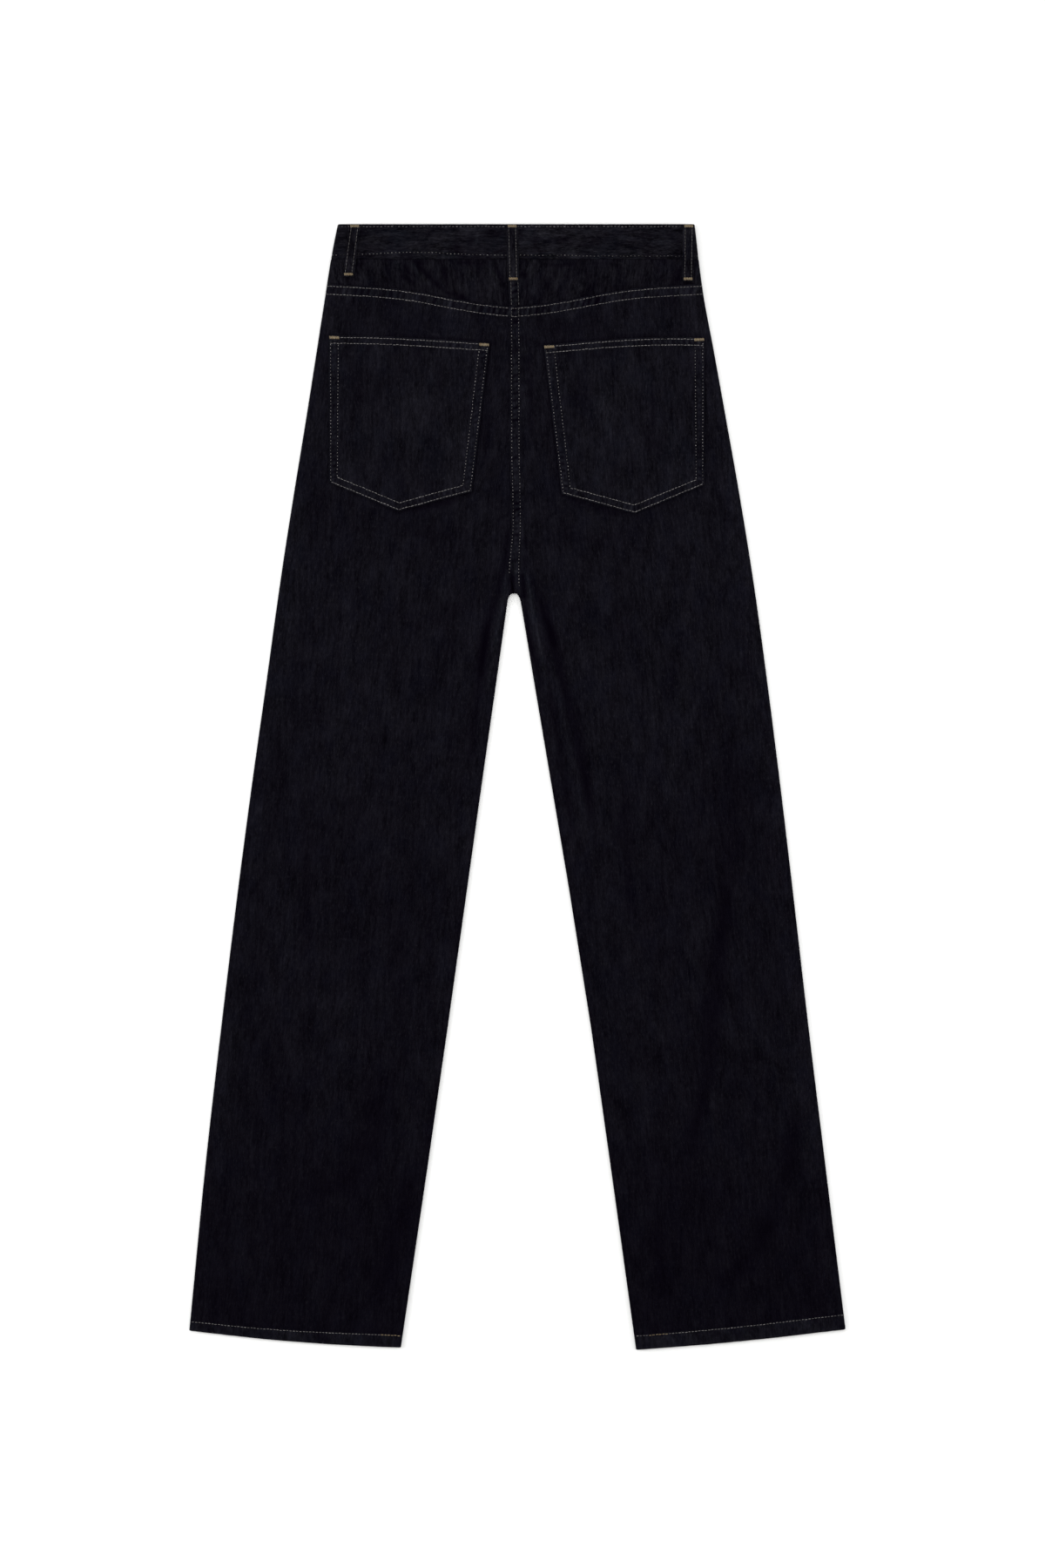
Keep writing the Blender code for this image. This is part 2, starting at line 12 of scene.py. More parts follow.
import bpy
import numpy as np
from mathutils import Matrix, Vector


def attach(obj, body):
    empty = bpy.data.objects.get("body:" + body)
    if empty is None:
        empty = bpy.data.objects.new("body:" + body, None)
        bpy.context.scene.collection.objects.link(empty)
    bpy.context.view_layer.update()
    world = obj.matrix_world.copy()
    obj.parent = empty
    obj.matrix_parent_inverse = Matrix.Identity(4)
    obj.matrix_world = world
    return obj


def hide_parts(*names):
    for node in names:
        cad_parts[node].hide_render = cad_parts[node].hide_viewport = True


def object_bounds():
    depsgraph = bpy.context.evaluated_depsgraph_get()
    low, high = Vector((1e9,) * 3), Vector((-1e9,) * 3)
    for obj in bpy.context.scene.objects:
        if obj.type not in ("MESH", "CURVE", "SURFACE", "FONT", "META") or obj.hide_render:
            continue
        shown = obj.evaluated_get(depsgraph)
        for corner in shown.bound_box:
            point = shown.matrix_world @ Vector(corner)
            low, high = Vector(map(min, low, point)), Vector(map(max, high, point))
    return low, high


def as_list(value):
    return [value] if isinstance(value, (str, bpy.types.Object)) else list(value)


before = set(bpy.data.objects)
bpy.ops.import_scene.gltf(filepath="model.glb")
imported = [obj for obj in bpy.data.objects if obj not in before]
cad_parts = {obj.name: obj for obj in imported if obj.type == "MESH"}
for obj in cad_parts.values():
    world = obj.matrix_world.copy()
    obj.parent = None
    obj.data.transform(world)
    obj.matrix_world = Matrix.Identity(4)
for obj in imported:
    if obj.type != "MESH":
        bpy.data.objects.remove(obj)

MM = 0.001
cad_low, cad_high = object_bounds()
LENGTH = (cad_high.y - cad_low.y) / MM
WAIST_Y = cad_high.y / MM  # "down" below is measured from this edge
print(f"frame: {len(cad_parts)} pieces, {LENGTH:.1f} mm long")

# %% [markdown]
# ## Camera
#
# The garment is seen from straight above, flat and undistorted, as it is laid out to be sold. A long
# lens far away keeps the legs parallel to the view. The camera comes first, so that every later
# step can be looked at. Its view is a little off the garment's middle, across and up.

# %% Camera straight above
LENS = 85.0
SENSOR = 36.0
VIEW_HEIGHT = 1.5329
VIEW_OFFSET = (0.0049, 0.00305)

camera_data = bpy.data.cameras.new("camera")
camera_data.lens = LENS
camera_data.sensor_width = SENSOR
camera_data.clip_end = 50.0
camera = bpy.data.objects.new("camera", camera_data)
camera.location = (*VIEW_OFFSET, VIEW_HEIGHT * LENS / SENSOR)
bpy.context.scene.collection.objects.link(camera)
bpy.context.scene.camera = camera
print(f"camera {camera.location.z:.2f} m above the surface")

# %% [markdown]
# ## Floor and light
#
# A pale floor lit evenly from all round comes out white, and leaves only a faint shadow under the
# cloth. Near-black cloth needs care: a big soft light overhead shows the colour, and long soft
# lights low on both sides graze the surface, so that folds, seams and threads stand out. The left
# light is a little stronger, because equal lights from both sides would cancel out every fold.
# The plain view transform keeps dark values dark.

# %% Floor, lights and world
def srgb(code):
    """Linear colour of a hex code: each channel through the sRGB curve, with alpha 1."""
    parts = np.array([int(code[i : i + 2], 16) / 255 for i in (1, 3, 5)])
    linear = np.where(parts <= 0.04045, parts / 12.92, ((parts + 0.055) / 1.055) ** 2.4)
    return (*linear, 1.0)


def add(tree, kind, inputs=(), **settings):
    """Adds one node: settings are its properties, inputs its sockets' values or their sources."""
    node = tree.nodes.new(kind)
    for key, value in settings.items():
        setattr(node, key, value)
    for key, value in dict(inputs).items():
        if isinstance(value, bpy.types.NodeSocket):
            tree.links.new(value, node.inputs[key])
        else:
            node.inputs[key].default_value = value
    return node


MIX_A, MIX_B, MIX_RESULT = 6, 7, 2  # a Mix node's sockets for colours


def mix(tree, share, first, second):
    """Colour a share of the way from the first to the second, each a hex code or a socket."""
    first, second = (srgb(dye) if isinstance(dye, str) else dye for dye in (first, second))
    inputs = {"Factor": share, MIX_A: first, MIX_B: second}
    node = add(tree, "ShaderNodeMix", inputs, data_type="RGBA", clamp_factor=False)
    return node.outputs[MIX_RESULT]


def noise(tree, at, scale, **settings):
    """Soft noise at a place, half on average, from 0 to 1."""
    return add(tree, "ShaderNodeTexNoise", {"Vector": at, "Scale": scale, **settings}).outputs["Fac"]


def maths(tree, operation, first, second, third=0.0, **settings):
    """Result of one Math node on two or three numbers."""
    inputs = {0: first, 1: second, 2: third}
    return add(tree, "ShaderNodeMath", inputs, operation=operation, **settings).outputs[0]


def spread(tree, value, low, high, bottom=0.0, top=1.0):
    """A value that ran from low to high, drawn out to run from bottom to top and held there."""
    inputs = {"Value": value, "From Min": low, "From Max": high, "To Min": bottom, "To Max": top}
    return add(tree, "ShaderNodeMapRange", inputs).outputs[0]


def map_of(tree, name):
    """Places on a material: its object's own, or those of the weave map."""
    if name == "weave":
        return add(tree, "ShaderNodeUVMap", uv_map="weave").outputs["UV"]
    return add(tree, "ShaderNodeTexCoord").outputs["Object"]


def new_material(name):
    """Empty material with a Principled shader on its output."""
    material = bpy.data.materials.new(name)
    material.use_nodes = True
    tree = material.node_tree
    tree.nodes.clear()
    shader = add(tree, "ShaderNodeBsdfPrincipled")
    add(tree, "ShaderNodeOutputMaterial", {"Surface": shader.outputs["BSDF"]})
    return material, tree, shader


def dress(tree, shader, colour, constants, bump=None):
    """Gives a shader its colour, its constants and the bump of a height."""
    tree.links.new(colour, shader.inputs["Base Color"])
    for key, value in constants.items():
        shader.inputs[key].default_value = value
    if bump:
        tree.links.new(add(tree, "ShaderNodeBump", bump).outputs["Normal"], shader.inputs["Normal"])


FLOOR_SIDE = 9.0
FLOOR_DROP = 0.0002  # just under the cloth, so that the two faces don't share a plane

floor_material, tree, shader = new_material("matt_white_card")
paper = mix(tree, noise(tree, map_of(tree, "object"), 400.0), "#f7f7f6", "#fbfbfa")
dress(tree, shader, paper, {"Roughness": 0.9, "Specular IOR Level": 0.1})

half = FLOOR_SIDE / 2
floor_mesh = bpy.data.meshes.new("floor")
floor_corners = [(-half, -half), (half, -half), (half, half), (-half, half)]
floor_mesh.from_pydata([(x, y, -FLOOR_DROP) for x, y in floor_corners], [], [(0, 1, 2, 3)])
floor_mesh.materials.append(floor_material)
floor = bpy.data.objects.new("floor", floor_mesh)
bpy.context.scene.collection.objects.link(floor)

Soft = namedtuple("Soft", "name x y z width depth power")
SOFT_LIGHTS = (
    Soft("overhead", 0.0, 0.3, 4.4, 4.0, 4.0, 100.0),
    Soft("left_side", -2.7, 0.2, 1.3, 0.9, 3.0, 66.0),
    Soft("right_side", 2.7, 0.0, 1.3, 0.9, 3.0, 40.0),
    Soft("above_waist", 0.0, 3.0, 1.5, 3.0, 0.9, 32.0),
)
for soft in SOFT_LIGHTS:
    light = bpy.data.lights.new(soft.name, "AREA")
    light.shape = "RECTANGLE"
    light.size = soft.width
    light.size_y = soft.depth
    light.energy = soft.power
    lamp = bpy.data.objects.new(soft.name, light)
    lamp.location = (soft.x, soft.y, soft.z)
    aim = np.array([-soft.x, -soft.y, -soft.z])
    flat = np.hypot(aim[0], aim[1])
    lean = np.arctan2(flat, -aim[2])
    heading = np.arctan2(aim[1], aim[0]) - np.pi / 2 if soft.x or soft.y > 1 else 0.0
    lamp.rotation_euler = (lean, 0.0, heading)
    bpy.context.scene.collection.objects.link(lamp)

world = bpy.data.worlds.new("soft_room")
world.use_nodes = True
room = world.node_tree.nodes["Background"]
room.inputs["Color"].default_value = srgb("#ffffff")
room.inputs["Strength"].default_value = 0.37
bpy.context.scene.world = world
bpy.context.scene.view_settings.view_transform = "Standard"
print(f"{len(SOFT_LIGHTS)} soft lights over a floor {FLOOR_SIDE} m wide")

# %% [markdown]
# ## Sizes of the cut
#
# The outline is the heart of the fit. Each edge is a short table of distances from the centre line
# at heights measured down from the waist, and a smooth curve runs through each table. These are
# the sizes that the solid model was built to, in millimetres.

# %% Tables of the garment's sizes
BAND_DEPTH = 34.0
CROTCH = 360.0
GAP = 0.3
WALL = 1.1
HEM_WALL = 2.0
HEM_TURN = 11.0
HEM_STEP = 2.0
BAND_WALL = 2.2
BAND_FRONT = 2.2
BAND_BACK = 8.8
BAND_STEP = 0.55
FRONT_LANDS = 125.0
EDGE_STRAIGHT = 0.3
EDGE_RIDGE = (8.0, 24.0)
ROLL_UNDER = (338.0, 365.0)
YOKE_EASE = 245.0
HEM_EASE = 900.0


def table(kind, *rows):
    """Rows with named columns."""
    return tuple(kind(*row) for row in rows)


Edge = namedtuple("Edge", "down left right")
OUTER_EDGE = table(
    Edge,
    (0.0, -175.6, 173.0), (34.0, -182.1, 176.8), (70.0, -187.8, 181.8), (121.0, -195.8, 191.4),
    (189.0, -206.5, 203.7), (257.0, -217.6, 215.8), (325.0, -228.3, 227.0), (376.0, -235.7, 234.6),
    (445.0, -245.2, 243.9), (547.0, -259.6, 256.8), (649.0, -273.1, 268.9), (785.0, -289.7, 284.6),
    (921.0, -305.2, 301.2), (1079.0, -320.6, 320.6),
)
INNER_EDGE = table(
    Edge,
    (361.0, -6.6, -0.3), (363.0, -8.6, 1.5), (367.0, -9.6, 2.9), (376.0, -10.9, 4.5),
    (445.0, -20.5, 16.0), (547.0, -35.0, 33.2), (649.0, -49.3, 50.4), (785.0, -68.4, 72.0),
    (921.0, -88.0, 91.2), (1098.0, -114.2, 115.8),
)
Hem = namedtuple("Hem", "across left right")
HEM = table(
    Hem,
    (0.0, 1079.4, 1078.1), (0.4, 1088.4, 1087.6), (0.7, 1093.0, 1093.4), (1.0, 1096.0, 1098.2),
)
Seam = namedtuple("Seam", "down x")
SEAT_SEAM = table(
    Seam,
    (34.0, -9.0), (95.0, -7.6), (215.0, -7.4), (290.0, -6.0), (318.0, -7.2), (335.0, -7.6), (360.0, -3.4),
)
FRONT_SEAM_X = -3.2
YOKE_CENTRE = -2.6
Yoke = namedtuple("Yoke", "from_centre down")
YOKE = table(
    Yoke,
    (0.0, 80.4), (30.0, 77.2), (60.0, 72.4), (90.0, 66.6), (120.0, 62.4), (150.0, 60.2), (190.0, 58.2),
)
Height = namedtuple("Height", "down middle edge")
HEIGHT = table(
    Height,
    (34.0, 8.25, 8.25), (60.0, 7.3, 7.5), (90.0, 6.2, 6.6), (130.0, 5.3, 5.9),
    (200.0, 4.6, 5.3), (300.0, 4.0, 4.9), (361.0, 3.7, 4.8), (450.0, 3.3, 4.6),
    (700.0, 3.1, 4.5), (1010.0, 3.2, 4.5), (1067.0, 4.9, 5.2), (1098.0, 5.2, 5.2),
)
Fold = namedtuple("Fold", "x1 down1 x2 down2 reach height")
FOLDS = table(
    Fold,
    (222.0, 600.0, 178.0, 960.0, 26.0, 1.5),
    (38.0, 400.0, 82.0, 640.0, 24.0, 1.2),
    (-42.0, 400.0, -66.0, 560.0, 22.0, 1.0),
    (-222.0, 560.0, -234.0, 780.0, 26.0, 1.0),
    (236.0, 980.0, 176.0, 1050.0, 24.0, 0.9),
    (-262.0, 1000.0, -170.0, 1030.0, 24.0, 0.8),
)
Loop = namedtuple("Loop", "name face top_x bottom_x bottom")
LOOPS = table(
    Loop,
    ("belt_loop_back_centre", "back", -5.2, -4.0, 56.0),
    ("belt_loop_back_left", "back", -158.6, -165.2, 51.5),
    ("belt_loop_back_right", "back", 167.0, 166.4, 56.0),
    ("belt_loop_front_left", "front", -86.0, -88.0, 52.0),
    ("belt_loop_front_right", "front", 80.0, 82.0, 52.0),
)
print(f"{len(OUTER_EDGE) + len(INNER_EDGE)} points draw the sides of both legs")


# %% Curves through the tables
def along(rows, column, at, key="down"):
    """Smooth value of one column of a table, by cubic pieces that never overshoot its rows.

    The slope at a row is the harmonic mean of the slopes on its two sides, or 0 at a turn.
    """
    where = np.array([getattr(row, key) for row in rows])
    values = np.array([getattr(row, column) for row in rows])
    rises = np.diff(values) / np.diff(where)
    before, after = rises[:-1], rises[1:]
    same_way = before * after > 0
    mean = 2 * before * after / np.where(same_way, before + after, 1.0)
    slopes = np.concatenate([rises[:1], np.where(same_way, mean, 0.0), rises[-1:]])
    at = np.clip(at, where[0], where[-1])
    i = np.clip(np.searchsorted(where, at, side="right") - 1, 0, len(where) - 2)
    span = where[i + 1] - where[i]
    t = (at - where[i]) / span
    start = values[i] * (1 + 2 * t) * (1 - t) ** 2 + slopes[i] * span * t * (1 - t) ** 2
    end = values[i + 1] * t * t * (3 - 2 * t) - slopes[i + 1] * span * t * t * (1 - t)
    return start + end


def ease(start, end, at):
    """0 before start, 1 after end, and a soft S between them: 3t squared less 2t cubed."""
    t = np.clip((at - start) / (end - start), 0.0, 1.0)
    return t * t * (3 - 2 * t)


def bell(at, middle, reach):
    """Soft hump of height 1 at the middle, gone by about twice its reach."""
    return np.exp(-(((at - middle) / reach) ** 2))


def cloud(x, y, pitch_x, pitch_y, seed):
    """Soft random hills from -1 to 1: heights drawn on a lattice, eased between its corners."""
    lattice = np.random.default_rng(seed).uniform(-1.0, 1.0, (97, 89))
    u, v = np.broadcast_arrays(x / pitch_x, y / pitch_y)
    i, j = np.floor(u).astype(int), np.floor(v).astype(int)
    a, b = u - i, v - j
    a, b = a * a * (3 - 2 * a), b * b * (3 - 2 * b)
    i, j = i % 97, j % 89
    i2, j2 = (i + 1) % 97, (j + 1) % 89
    low = lattice[i, j] * (1 - a) + lattice[i2, j] * a
    high = lattice[i, j2] * (1 - a) + lattice[i2, j2] * a
    return low * (1 - b) + high * b


def places(*values):
    """Arrays of one shape from places given as numbers, rows or columns."""
    return np.broadcast_arrays(*(np.asarray(value, float) for value in values))


def gone_along(x, z):
    """Distance gone along a path at each of its points."""
    return np.cumsum(np.hypot(np.diff(x, prepend=x[0]), np.diff(z, prepend=z[0])))


SIDES = ("left", "right")


def toward(side):
    """The way from a side edge to the centre line."""
    return 1.0 if side == "left" else -1.0


def roll_under(down):
    """0 on the seat, where left and right meet edge to edge, and 1 in the legs."""
    return ease(*ROLL_UNDER, down)


def front_rise(down):
    """Height of the fronts' outer face: they lift off the surface only near the waistband."""
    return (BAND_FRONT + BAND_STEP) * (1 - ease(BAND_DEPTH, FRONT_LANDS, down))


def outer_x(side, down):
    """Outer edge of a panel at a height."""
    return along(OUTER_EDGE, side, down)


def seat_seam_x(down):
    """Centre seam of the backs at a height."""
    return along(SEAT_SEAM, "x", down)


def inner_x(side, down, seam_x):
    """Inner end of a panel: half a gap from the centre seam, or the leg's own inner edge."""
    rows = [row.down for row in INNER_EDGE]
    edge = np.interp(down, rows, [getattr(row, side) for row in INNER_EDGE])
    return np.where(down < CROTCH, seam_x - toward(side) * GAP / 2, edge)


def yoke_down(x):
    """How far down the yoke's lower seam is, at any x."""
    return along(YOKE, "down", np.abs(x - YOKE_CENTRE), "from_centre")


def hem_down(side, across):
    """How far down a leg ends, at a share of its width from its outer edge."""
    return along(HEM, side, across, "across")


print(f"thigh {outer_x('right', 370.0) - inner_x('right', 370.0, 0.0):.0f} mm wide, laid flat")

# %% [markdown]
# ## The lie of the cloth
#
# Stiff new denim lies nearly flat, but never quite. Seam allowances lift the edges, long soft
# folds run down the legs where it was folded and worn, and the seat gathers towards the crotch.
# Each crease is a bent line with its own reach and depth. The same lines also carry painted light
# and shade: a hollow is painted darker, and a ridge is painted paler. So every face has two values
# at each point: its height, and its tone, which holds this painted light and shade as well as the
# cloth's own uneven colour.

# %% Creases drawn as bent lines
Crease = namedtuple("Crease", "points reach height tone soft", defaults=(0.28,))
# Crease tones are painted light and shade: darker in a hollow, paler on a ridge
CREASES = table(
    Crease,
    # Right leg, as worn: the long slanting hollow over the knee, and two below it
    (((208, 470), (211, 560), (210, 640)), 12.0, -0.4, -0.22),
    (((208, 600), (202, 674), (195, 726), (189, 787), (184, 839), (174, 883), (167, 945)),
           8.0, -0.8, -0.62, 0.2),
    (((276, 840), (265, 917), (247, 978), (217, 1022)), 10.0, -0.6, -0.45),
    (((236, 996), (217, 1020), (190, 1042)), 11.0, -0.4, -0.40),
    (((135, 950), (139, 996), (144, 1062)), 6.0, -0.4, -0.43),
    # Right inner thigh: a dark hollow along the inseam, with a pale ridge beside it
    (((20, 362), (33, 402), (44, 445), (56, 491), (67, 543), (76, 606)), 6.0, -0.8, -0.70, 0.18),
    (((17, 392), (33, 465), (47, 543), (56, 612)), 3.0, -0.4, -0.45),
    (((28, 405), (39, 452), (50, 500), (63, 568), (78, 640)), 3.0, 0.5, 0.25),
    (((104, 530), (107, 612), (108, 684)), 6.0, -0.4, -0.38),
    (((13, 366), (74, 378), (126, 408), (152, 430)), 5.0, -0.3, -0.25),
    # Left inner thigh
    (((-28, 352), (-32, 400), (-40, 470), (-47, 536)), 6.5, -0.7, -0.53),
    (((-30, 360), (-70, 382), (-118, 396)), 7.0, -0.35, -0.20),
    # Left knee and calf
    (((-205, 580), (-207, 656), (-210, 730)), 7.0, -0.5, -0.40),
    (((-131, 790), (-140, 883), (-170, 935), (-232, 958)), 15.0, -0.4, -0.43),
    (((-102, 910), (-122, 1004), (-142, 1062)), 11.0, -0.4, -0.45),
    (((-120, 640), (-112, 720), (-118, 800)), 10.0, -0.3, -0.18),
    (((-250, 440), (-238, 500), (-240, 560)), 8.0, -0.3, -0.18),
    (((246, 450), (238, 520), (244, 580)), 8.0, -0.3, -0.18),
    # Ridges down the middle of the thighs, painted paler
    (((168, 410), (152, 500), (147, 600)), 9.0, 0.3, 0.28),
    (((-157, 356), (-170, 482), (-192, 600)), 10.0, 0.3, 0.21),
    (((-74, 460), (-78, 580)), 7.0, 0.2, 0.19),
    # Seat: beside the seam, round the pockets and out to the sides, with painted shadow under pockets
    (((12, 104), (12, 160), (14, 216)), 3.6, -0.2, -0.38),
    (((-25, 140), (-30, 200), (-35, 256)), 4.5, -0.2, -0.30),
    (((-120, 279), (-90, 276), (-56, 268)), 2.4, -0.25, -0.53, 0.15),
    (((46, 266), (75, 276), (104, 284)), 2.4, -0.25, -0.53, 0.15),
    (((88, 100), (130, 97), (178, 95)), 7.0, 0.1, 0.22),
    (((10, 98), (50, 101), (90, 98)), 7.0, -0.1, -0.20),
    (((-30, 296), (-76, 304), (-130, 296)), 7.0, -0.35, -0.18),
    (((26, 300), (80, 308), (126, 300)), 7.0, -0.35, -0.18),
    (((-196, 210), (-204, 260), (-206, 310)), 6.0, -0.3, -0.15),
    (((192, 200), (198, 260), (206, 320)), 6.0, -0.3, -0.15),
)
# Small drag lines in the yoke, where the waistband holds it in: painted light and shade
# The lines with no height are painted shadow under the waistband's lower edge
DRAG_LINES = table(
    Crease,
    (((-100, 36), (-88, 50), (-80, 58), (-70, 66), (-58, 70), (-42, 74)), 2.6, -0.4, -0.48, 0.16),
    (((-106, 34), (-98, 46), (-90, 54), (-83, 61)), 1.6, 0.35, 0.70),
    (((-113, 34), (-105, 48), (-95, 53)), 1.9, -0.3, -0.40),
    (((-116, 49), (-98, 58)), 1.9, -0.2, -0.34),
    (((-119, 33), (-115, 45)), 1.6, 0.2, 0.60),
    (((-73, 40), (-70, 52), (-67, 64)), 2.1, -0.3, -0.36),
    (((-50, 42), (-44, 52), (-46, 64)), 4.0, 0.15, 0.28),
    (((-29, 42), (-22, 50), (-18, 60)), 1.9, 0.25, 0.34),
    (((-23, 38), (-18, 48), (-14, 58), (-11, 68)), 2.2, -0.4, -0.44),
    (((-154, 49), (-146, 54), (-138, 57)), 3.2, 0.15, 0.28),
    (((8, 33), (18, 38)), 1.6, 0.15, 0.5),
    (((-106, 37), (-82, 38)), 1.9, 0.0, -0.34),
    (((-66, 37), (-28, 38)), 1.9, 0.0, -0.34),
    (((-168, 41), (-154, 39)), 2.6, 0.0, -0.30),
    (((3.5, 38), (7, 50), (9, 67)), 2.1, -0.35, -0.48),
    (((9, 36), (14, 48), (15, 60), (18, 74)), 2.5, 0.25, 0.38),
    (((26, 39), (44, 40), (62, 38)), 2.0, 0.0, -0.34),
    (((66, 38), (98, 38)), 2.0, 0.0, -0.34),
    (((64, 42), (63, 56), (59, 68)), 2.7, 0.2, 0.30),
    (((34, 62), (46, 44)), 2.6, 0.15, 0.28),
    (((107, 38), (110, 53)), 3.2, 0.15, 0.26),
    (((133, 40), (130, 53)), 3.2, 0.15, 0.26),
    (((146, 38), (147, 50), (143, 61)), 4.2, 0.15, 0.26),
    (((68, 58), (76, 66)), 2.8, -0.15, -0.30),
    (((100, 62), (109, 68)), 2.8, -0.15, -0.30),
    (((156, 42), (158, 58)), 2.8, -0.15, -0.30),
)
# At the crotch the inseams turn under: a painted highlight on each leg's edge, painted shade inside it
CROTCH_LINES = table(
    Crease,
    (((4, 335), (8, 341), (10.6, 348), (12.3, 357), (13, 366), (15, 380), (19, 396), (22, 412),
            (24.5, 425), (27.5, 442), (30, 460)), 1.7, 0.7, 0.95, 0.1),
    (((10, 338), (17, 355), (24, 370), (29, 384), (34, 400), (37, 416)), 4.2, -0.4, -0.50, 0.14),
    (((4, 345), (6, 360), (8, 376), (11, 398), (15, 416), (20, 440), (25, 462)), 2.3, -0.3, -0.75),
    (((4, 339), (5.5, 350), (7, 366)), 3.0, -0.2, -0.85, 0.12),
    (((-5, 336), (-5, 362)), 2.6, -0.2, -0.85, 0.12),
    (((-10, 333), (-11.6, 345), (-12.6, 356), (-14, 364), (-16.5, 378), (-19.5, 398), (-22, 415),
            (-25.5, 435), (-29, 455)), 1.6, 0.6, 0.80, 0.1),
    (((-9.5, 286), (-10.5, 310), (-12.5, 335), (-17, 352), (-22, 370), (-27, 388), (-31, 405),
            (-34, 425), (-37, 446)), 3.2, -0.4, -0.56, 0.14),
    (((7.5, 296), (7.5, 318), (9.5, 338)), 2.2, -0.2, -0.45),
    (((-1.4, 336), (-1.4, 348), (-1.8, 360)), 0.8, 0.25, 0.80, 0.12),
)


def from_line(points, x, down):
    """Distance to a bent line, and the share of its length at the nearest place on it."""
    corners = np.array(points, float)
    runs = np.diff(corners, axis=0)
    lengths = np.hypot(runs[:, 0], runs[:, 1])
    total = lengths.sum()
    nearest = np.full(np.shape(x), np.inf)
    share = np.zeros(np.shape(x))
    passed = 0.0
    for (start_x, start_down), (run_x, run_down), length in zip(corners, runs, lengths):
        ahead = ((x - start_x) * run_x + (down - start_down) * run_down) / length
        ahead = np.clip(ahead, 0.0, length)
        far = np.hypot(x - start_x - run_x * ahead / length, down - start_down - run_down * ahead / length)
        share = np.where(far < nearest, (passed + ahead) / total, share)
        nearest = np.minimum(far, nearest)
        passed += length
    return nearest, share


def creased(creases, x, down):
    """Height and tone of some creases: each is a bell across its line, uneven and fading out."""
    height = np.zeros(np.shape(x))
    tone = np.zeros(np.shape(x))
    for number, crease in enumerate(creases):
        far, share = from_line(crease.points, x, down)
        uneven = 1 + 0.35 * cloud(share, 0.0, 0.19, 1.0, number)
        strength = bell(far, 0.0, crease.reach * uneven) * ease(-0.02, crease.soft, share)
        strength = strength * (1 - ease(1 - crease.soft, 1.02, share))
        height = height + crease.height * strength
        tone = tone + crease.tone * strength
    return height, tone


def folded(x, down):
    """Sum of the long soft folds: each fades across its reach and towards both its ends."""
    total = np.zeros(np.shape(x))
    for fold in FOLDS:
        run = np.array([fold.x2 - fold.x1, fold.down2 - fold.down1])
        length = np.hypot(*run)
        ahead = ((x - fold.x1) * run[0] + (down - fold.down1) * run[1]) / length
        aside = ((x - fold.x1) * run[1] - (down - fold.down1) * run[0]) / length
        ends = ease(0, 0.3 * length, ahead) * (1 - ease(0.7 * length, length, ahead))
        total = total + fold.height * ends * np.exp(-((aside / fold.reach) ** 2) * 2)
    return total


print(f"{len(CREASES) + len(DRAG_LINES) + len(CROTCH_LINES)} creases drawn by hand")

# %% [markdown]
# ## Outline of a back pocket
#
# A patch pocket is one five-sided piece. Its outline is drawn on its own mouth: across towards the
# seat seam, and down. The mouth bows up a little between its corners. The same outline, moved in
# by the distance to the needle, gives the mitred lines of stitching.

# %% Outline of a pocket
POCKET_WALL = 1.2
POCKET_MOUTH = 78.4
POCKET_OUTER = (-71.9, 143.2)
POCKET_TIP = (-2.9, 168.1)
POCKET_INNER = (67.6, 145.5)
POCKET_TILT = np.radians(2.6)
MOUTH_STITCHES = (1.9, 7.6)
SIDE_STITCHES = (1.6, 7.9)
Pocket = namedtuple("Pocket", "side x down bow")
POCKETS = (Pocket("left", -105.6, 112.2, 1.6), Pocket("right", 104.1, 114.5, 3.0))


def mouth_bow(pocket, u):
    """How far the mouth's edge rises between its corners: a skewed hump."""
    t = (u + POCKET_MOUTH) / (2 * POCKET_MOUTH)
    return pocket.bow * np.sin(np.pi * np.clip(t, 0, 1) ** 0.8)


def pocket_outline(inset=0.0):
    """Corners of the pocket moved in from its sides by an inset: outer, foot, tip, foot, inner.

    Each side is moved along its own normal, and neighbours are cut where they cross.
    """
    corners = np.array(
        [(-POCKET_MOUTH, 0), POCKET_OUTER, POCKET_TIP, POCKET_INNER, (POCKET_MOUTH, 0)], float
    )
    runs = np.diff(corners, axis=0)
    inward = np.stack([runs[:, 1], -runs[:, 0]], axis=1)
    inward = inward / np.hypot(*inward.T)[:, None]
    starts = corners[:-1] + inset * inward
    found = [starts[0] - runs[0] * (starts[0][1] / runs[0][1])]
    for i in range(len(runs) - 1):
        sides = np.stack([runs[i], -runs[i + 1]], axis=1)
        step = np.linalg.solve(sides, starts[i + 1] - starts[i])[0]
        found.append(starts[i] + step * runs[i])
    found.append(starts[-1] + runs[-1] * (-starts[-1][1] / runs[-1][1]))
    return np.array(found)


def on_garment(pocket, u, v):
    """Place on the garment (x, down) of a place (u, v) on a pocket."""
    cos, sin = np.cos(POCKET_TILT), np.sin(POCKET_TILT)
    x = pocket.x + toward(pocket.side) * (u * cos - v * sin)
    return x, pocket.down + u * sin + v * cos


def on_mouth(pocket, x, down):
    """Place on a pocket (u, v) of a place (x, down) on the garment."""
    cos, sin = np.cos(POCKET_TILT), np.sin(POCKET_TILT)
    a, b = (x - pocket.x) * toward(pocket.side), down - pocket.down
    return a * cos + b * sin, b * cos - a * sin


def beside_pocket(side, x, down):
    """Shade that a pocket throws on the cloth just outside it, mostly on its inner half."""
    pocket = POCKETS[0] if side == "left" else POCKETS[1]
    u, v = on_mouth(pocket, x, down)
    past_end = 0.3 * np.maximum(np.abs(u) - POCKET_MOUTH, 0)
    far = from_line(pocket_outline(), u, v)[0]
    far = np.minimum(far, np.hypot(v + mouth_bow(pocket, u) + 0.6, past_end))
    return bell(far, 0.0, 2.2) * (0.3 + 0.7 * ease(-50.0, 50.0, u))


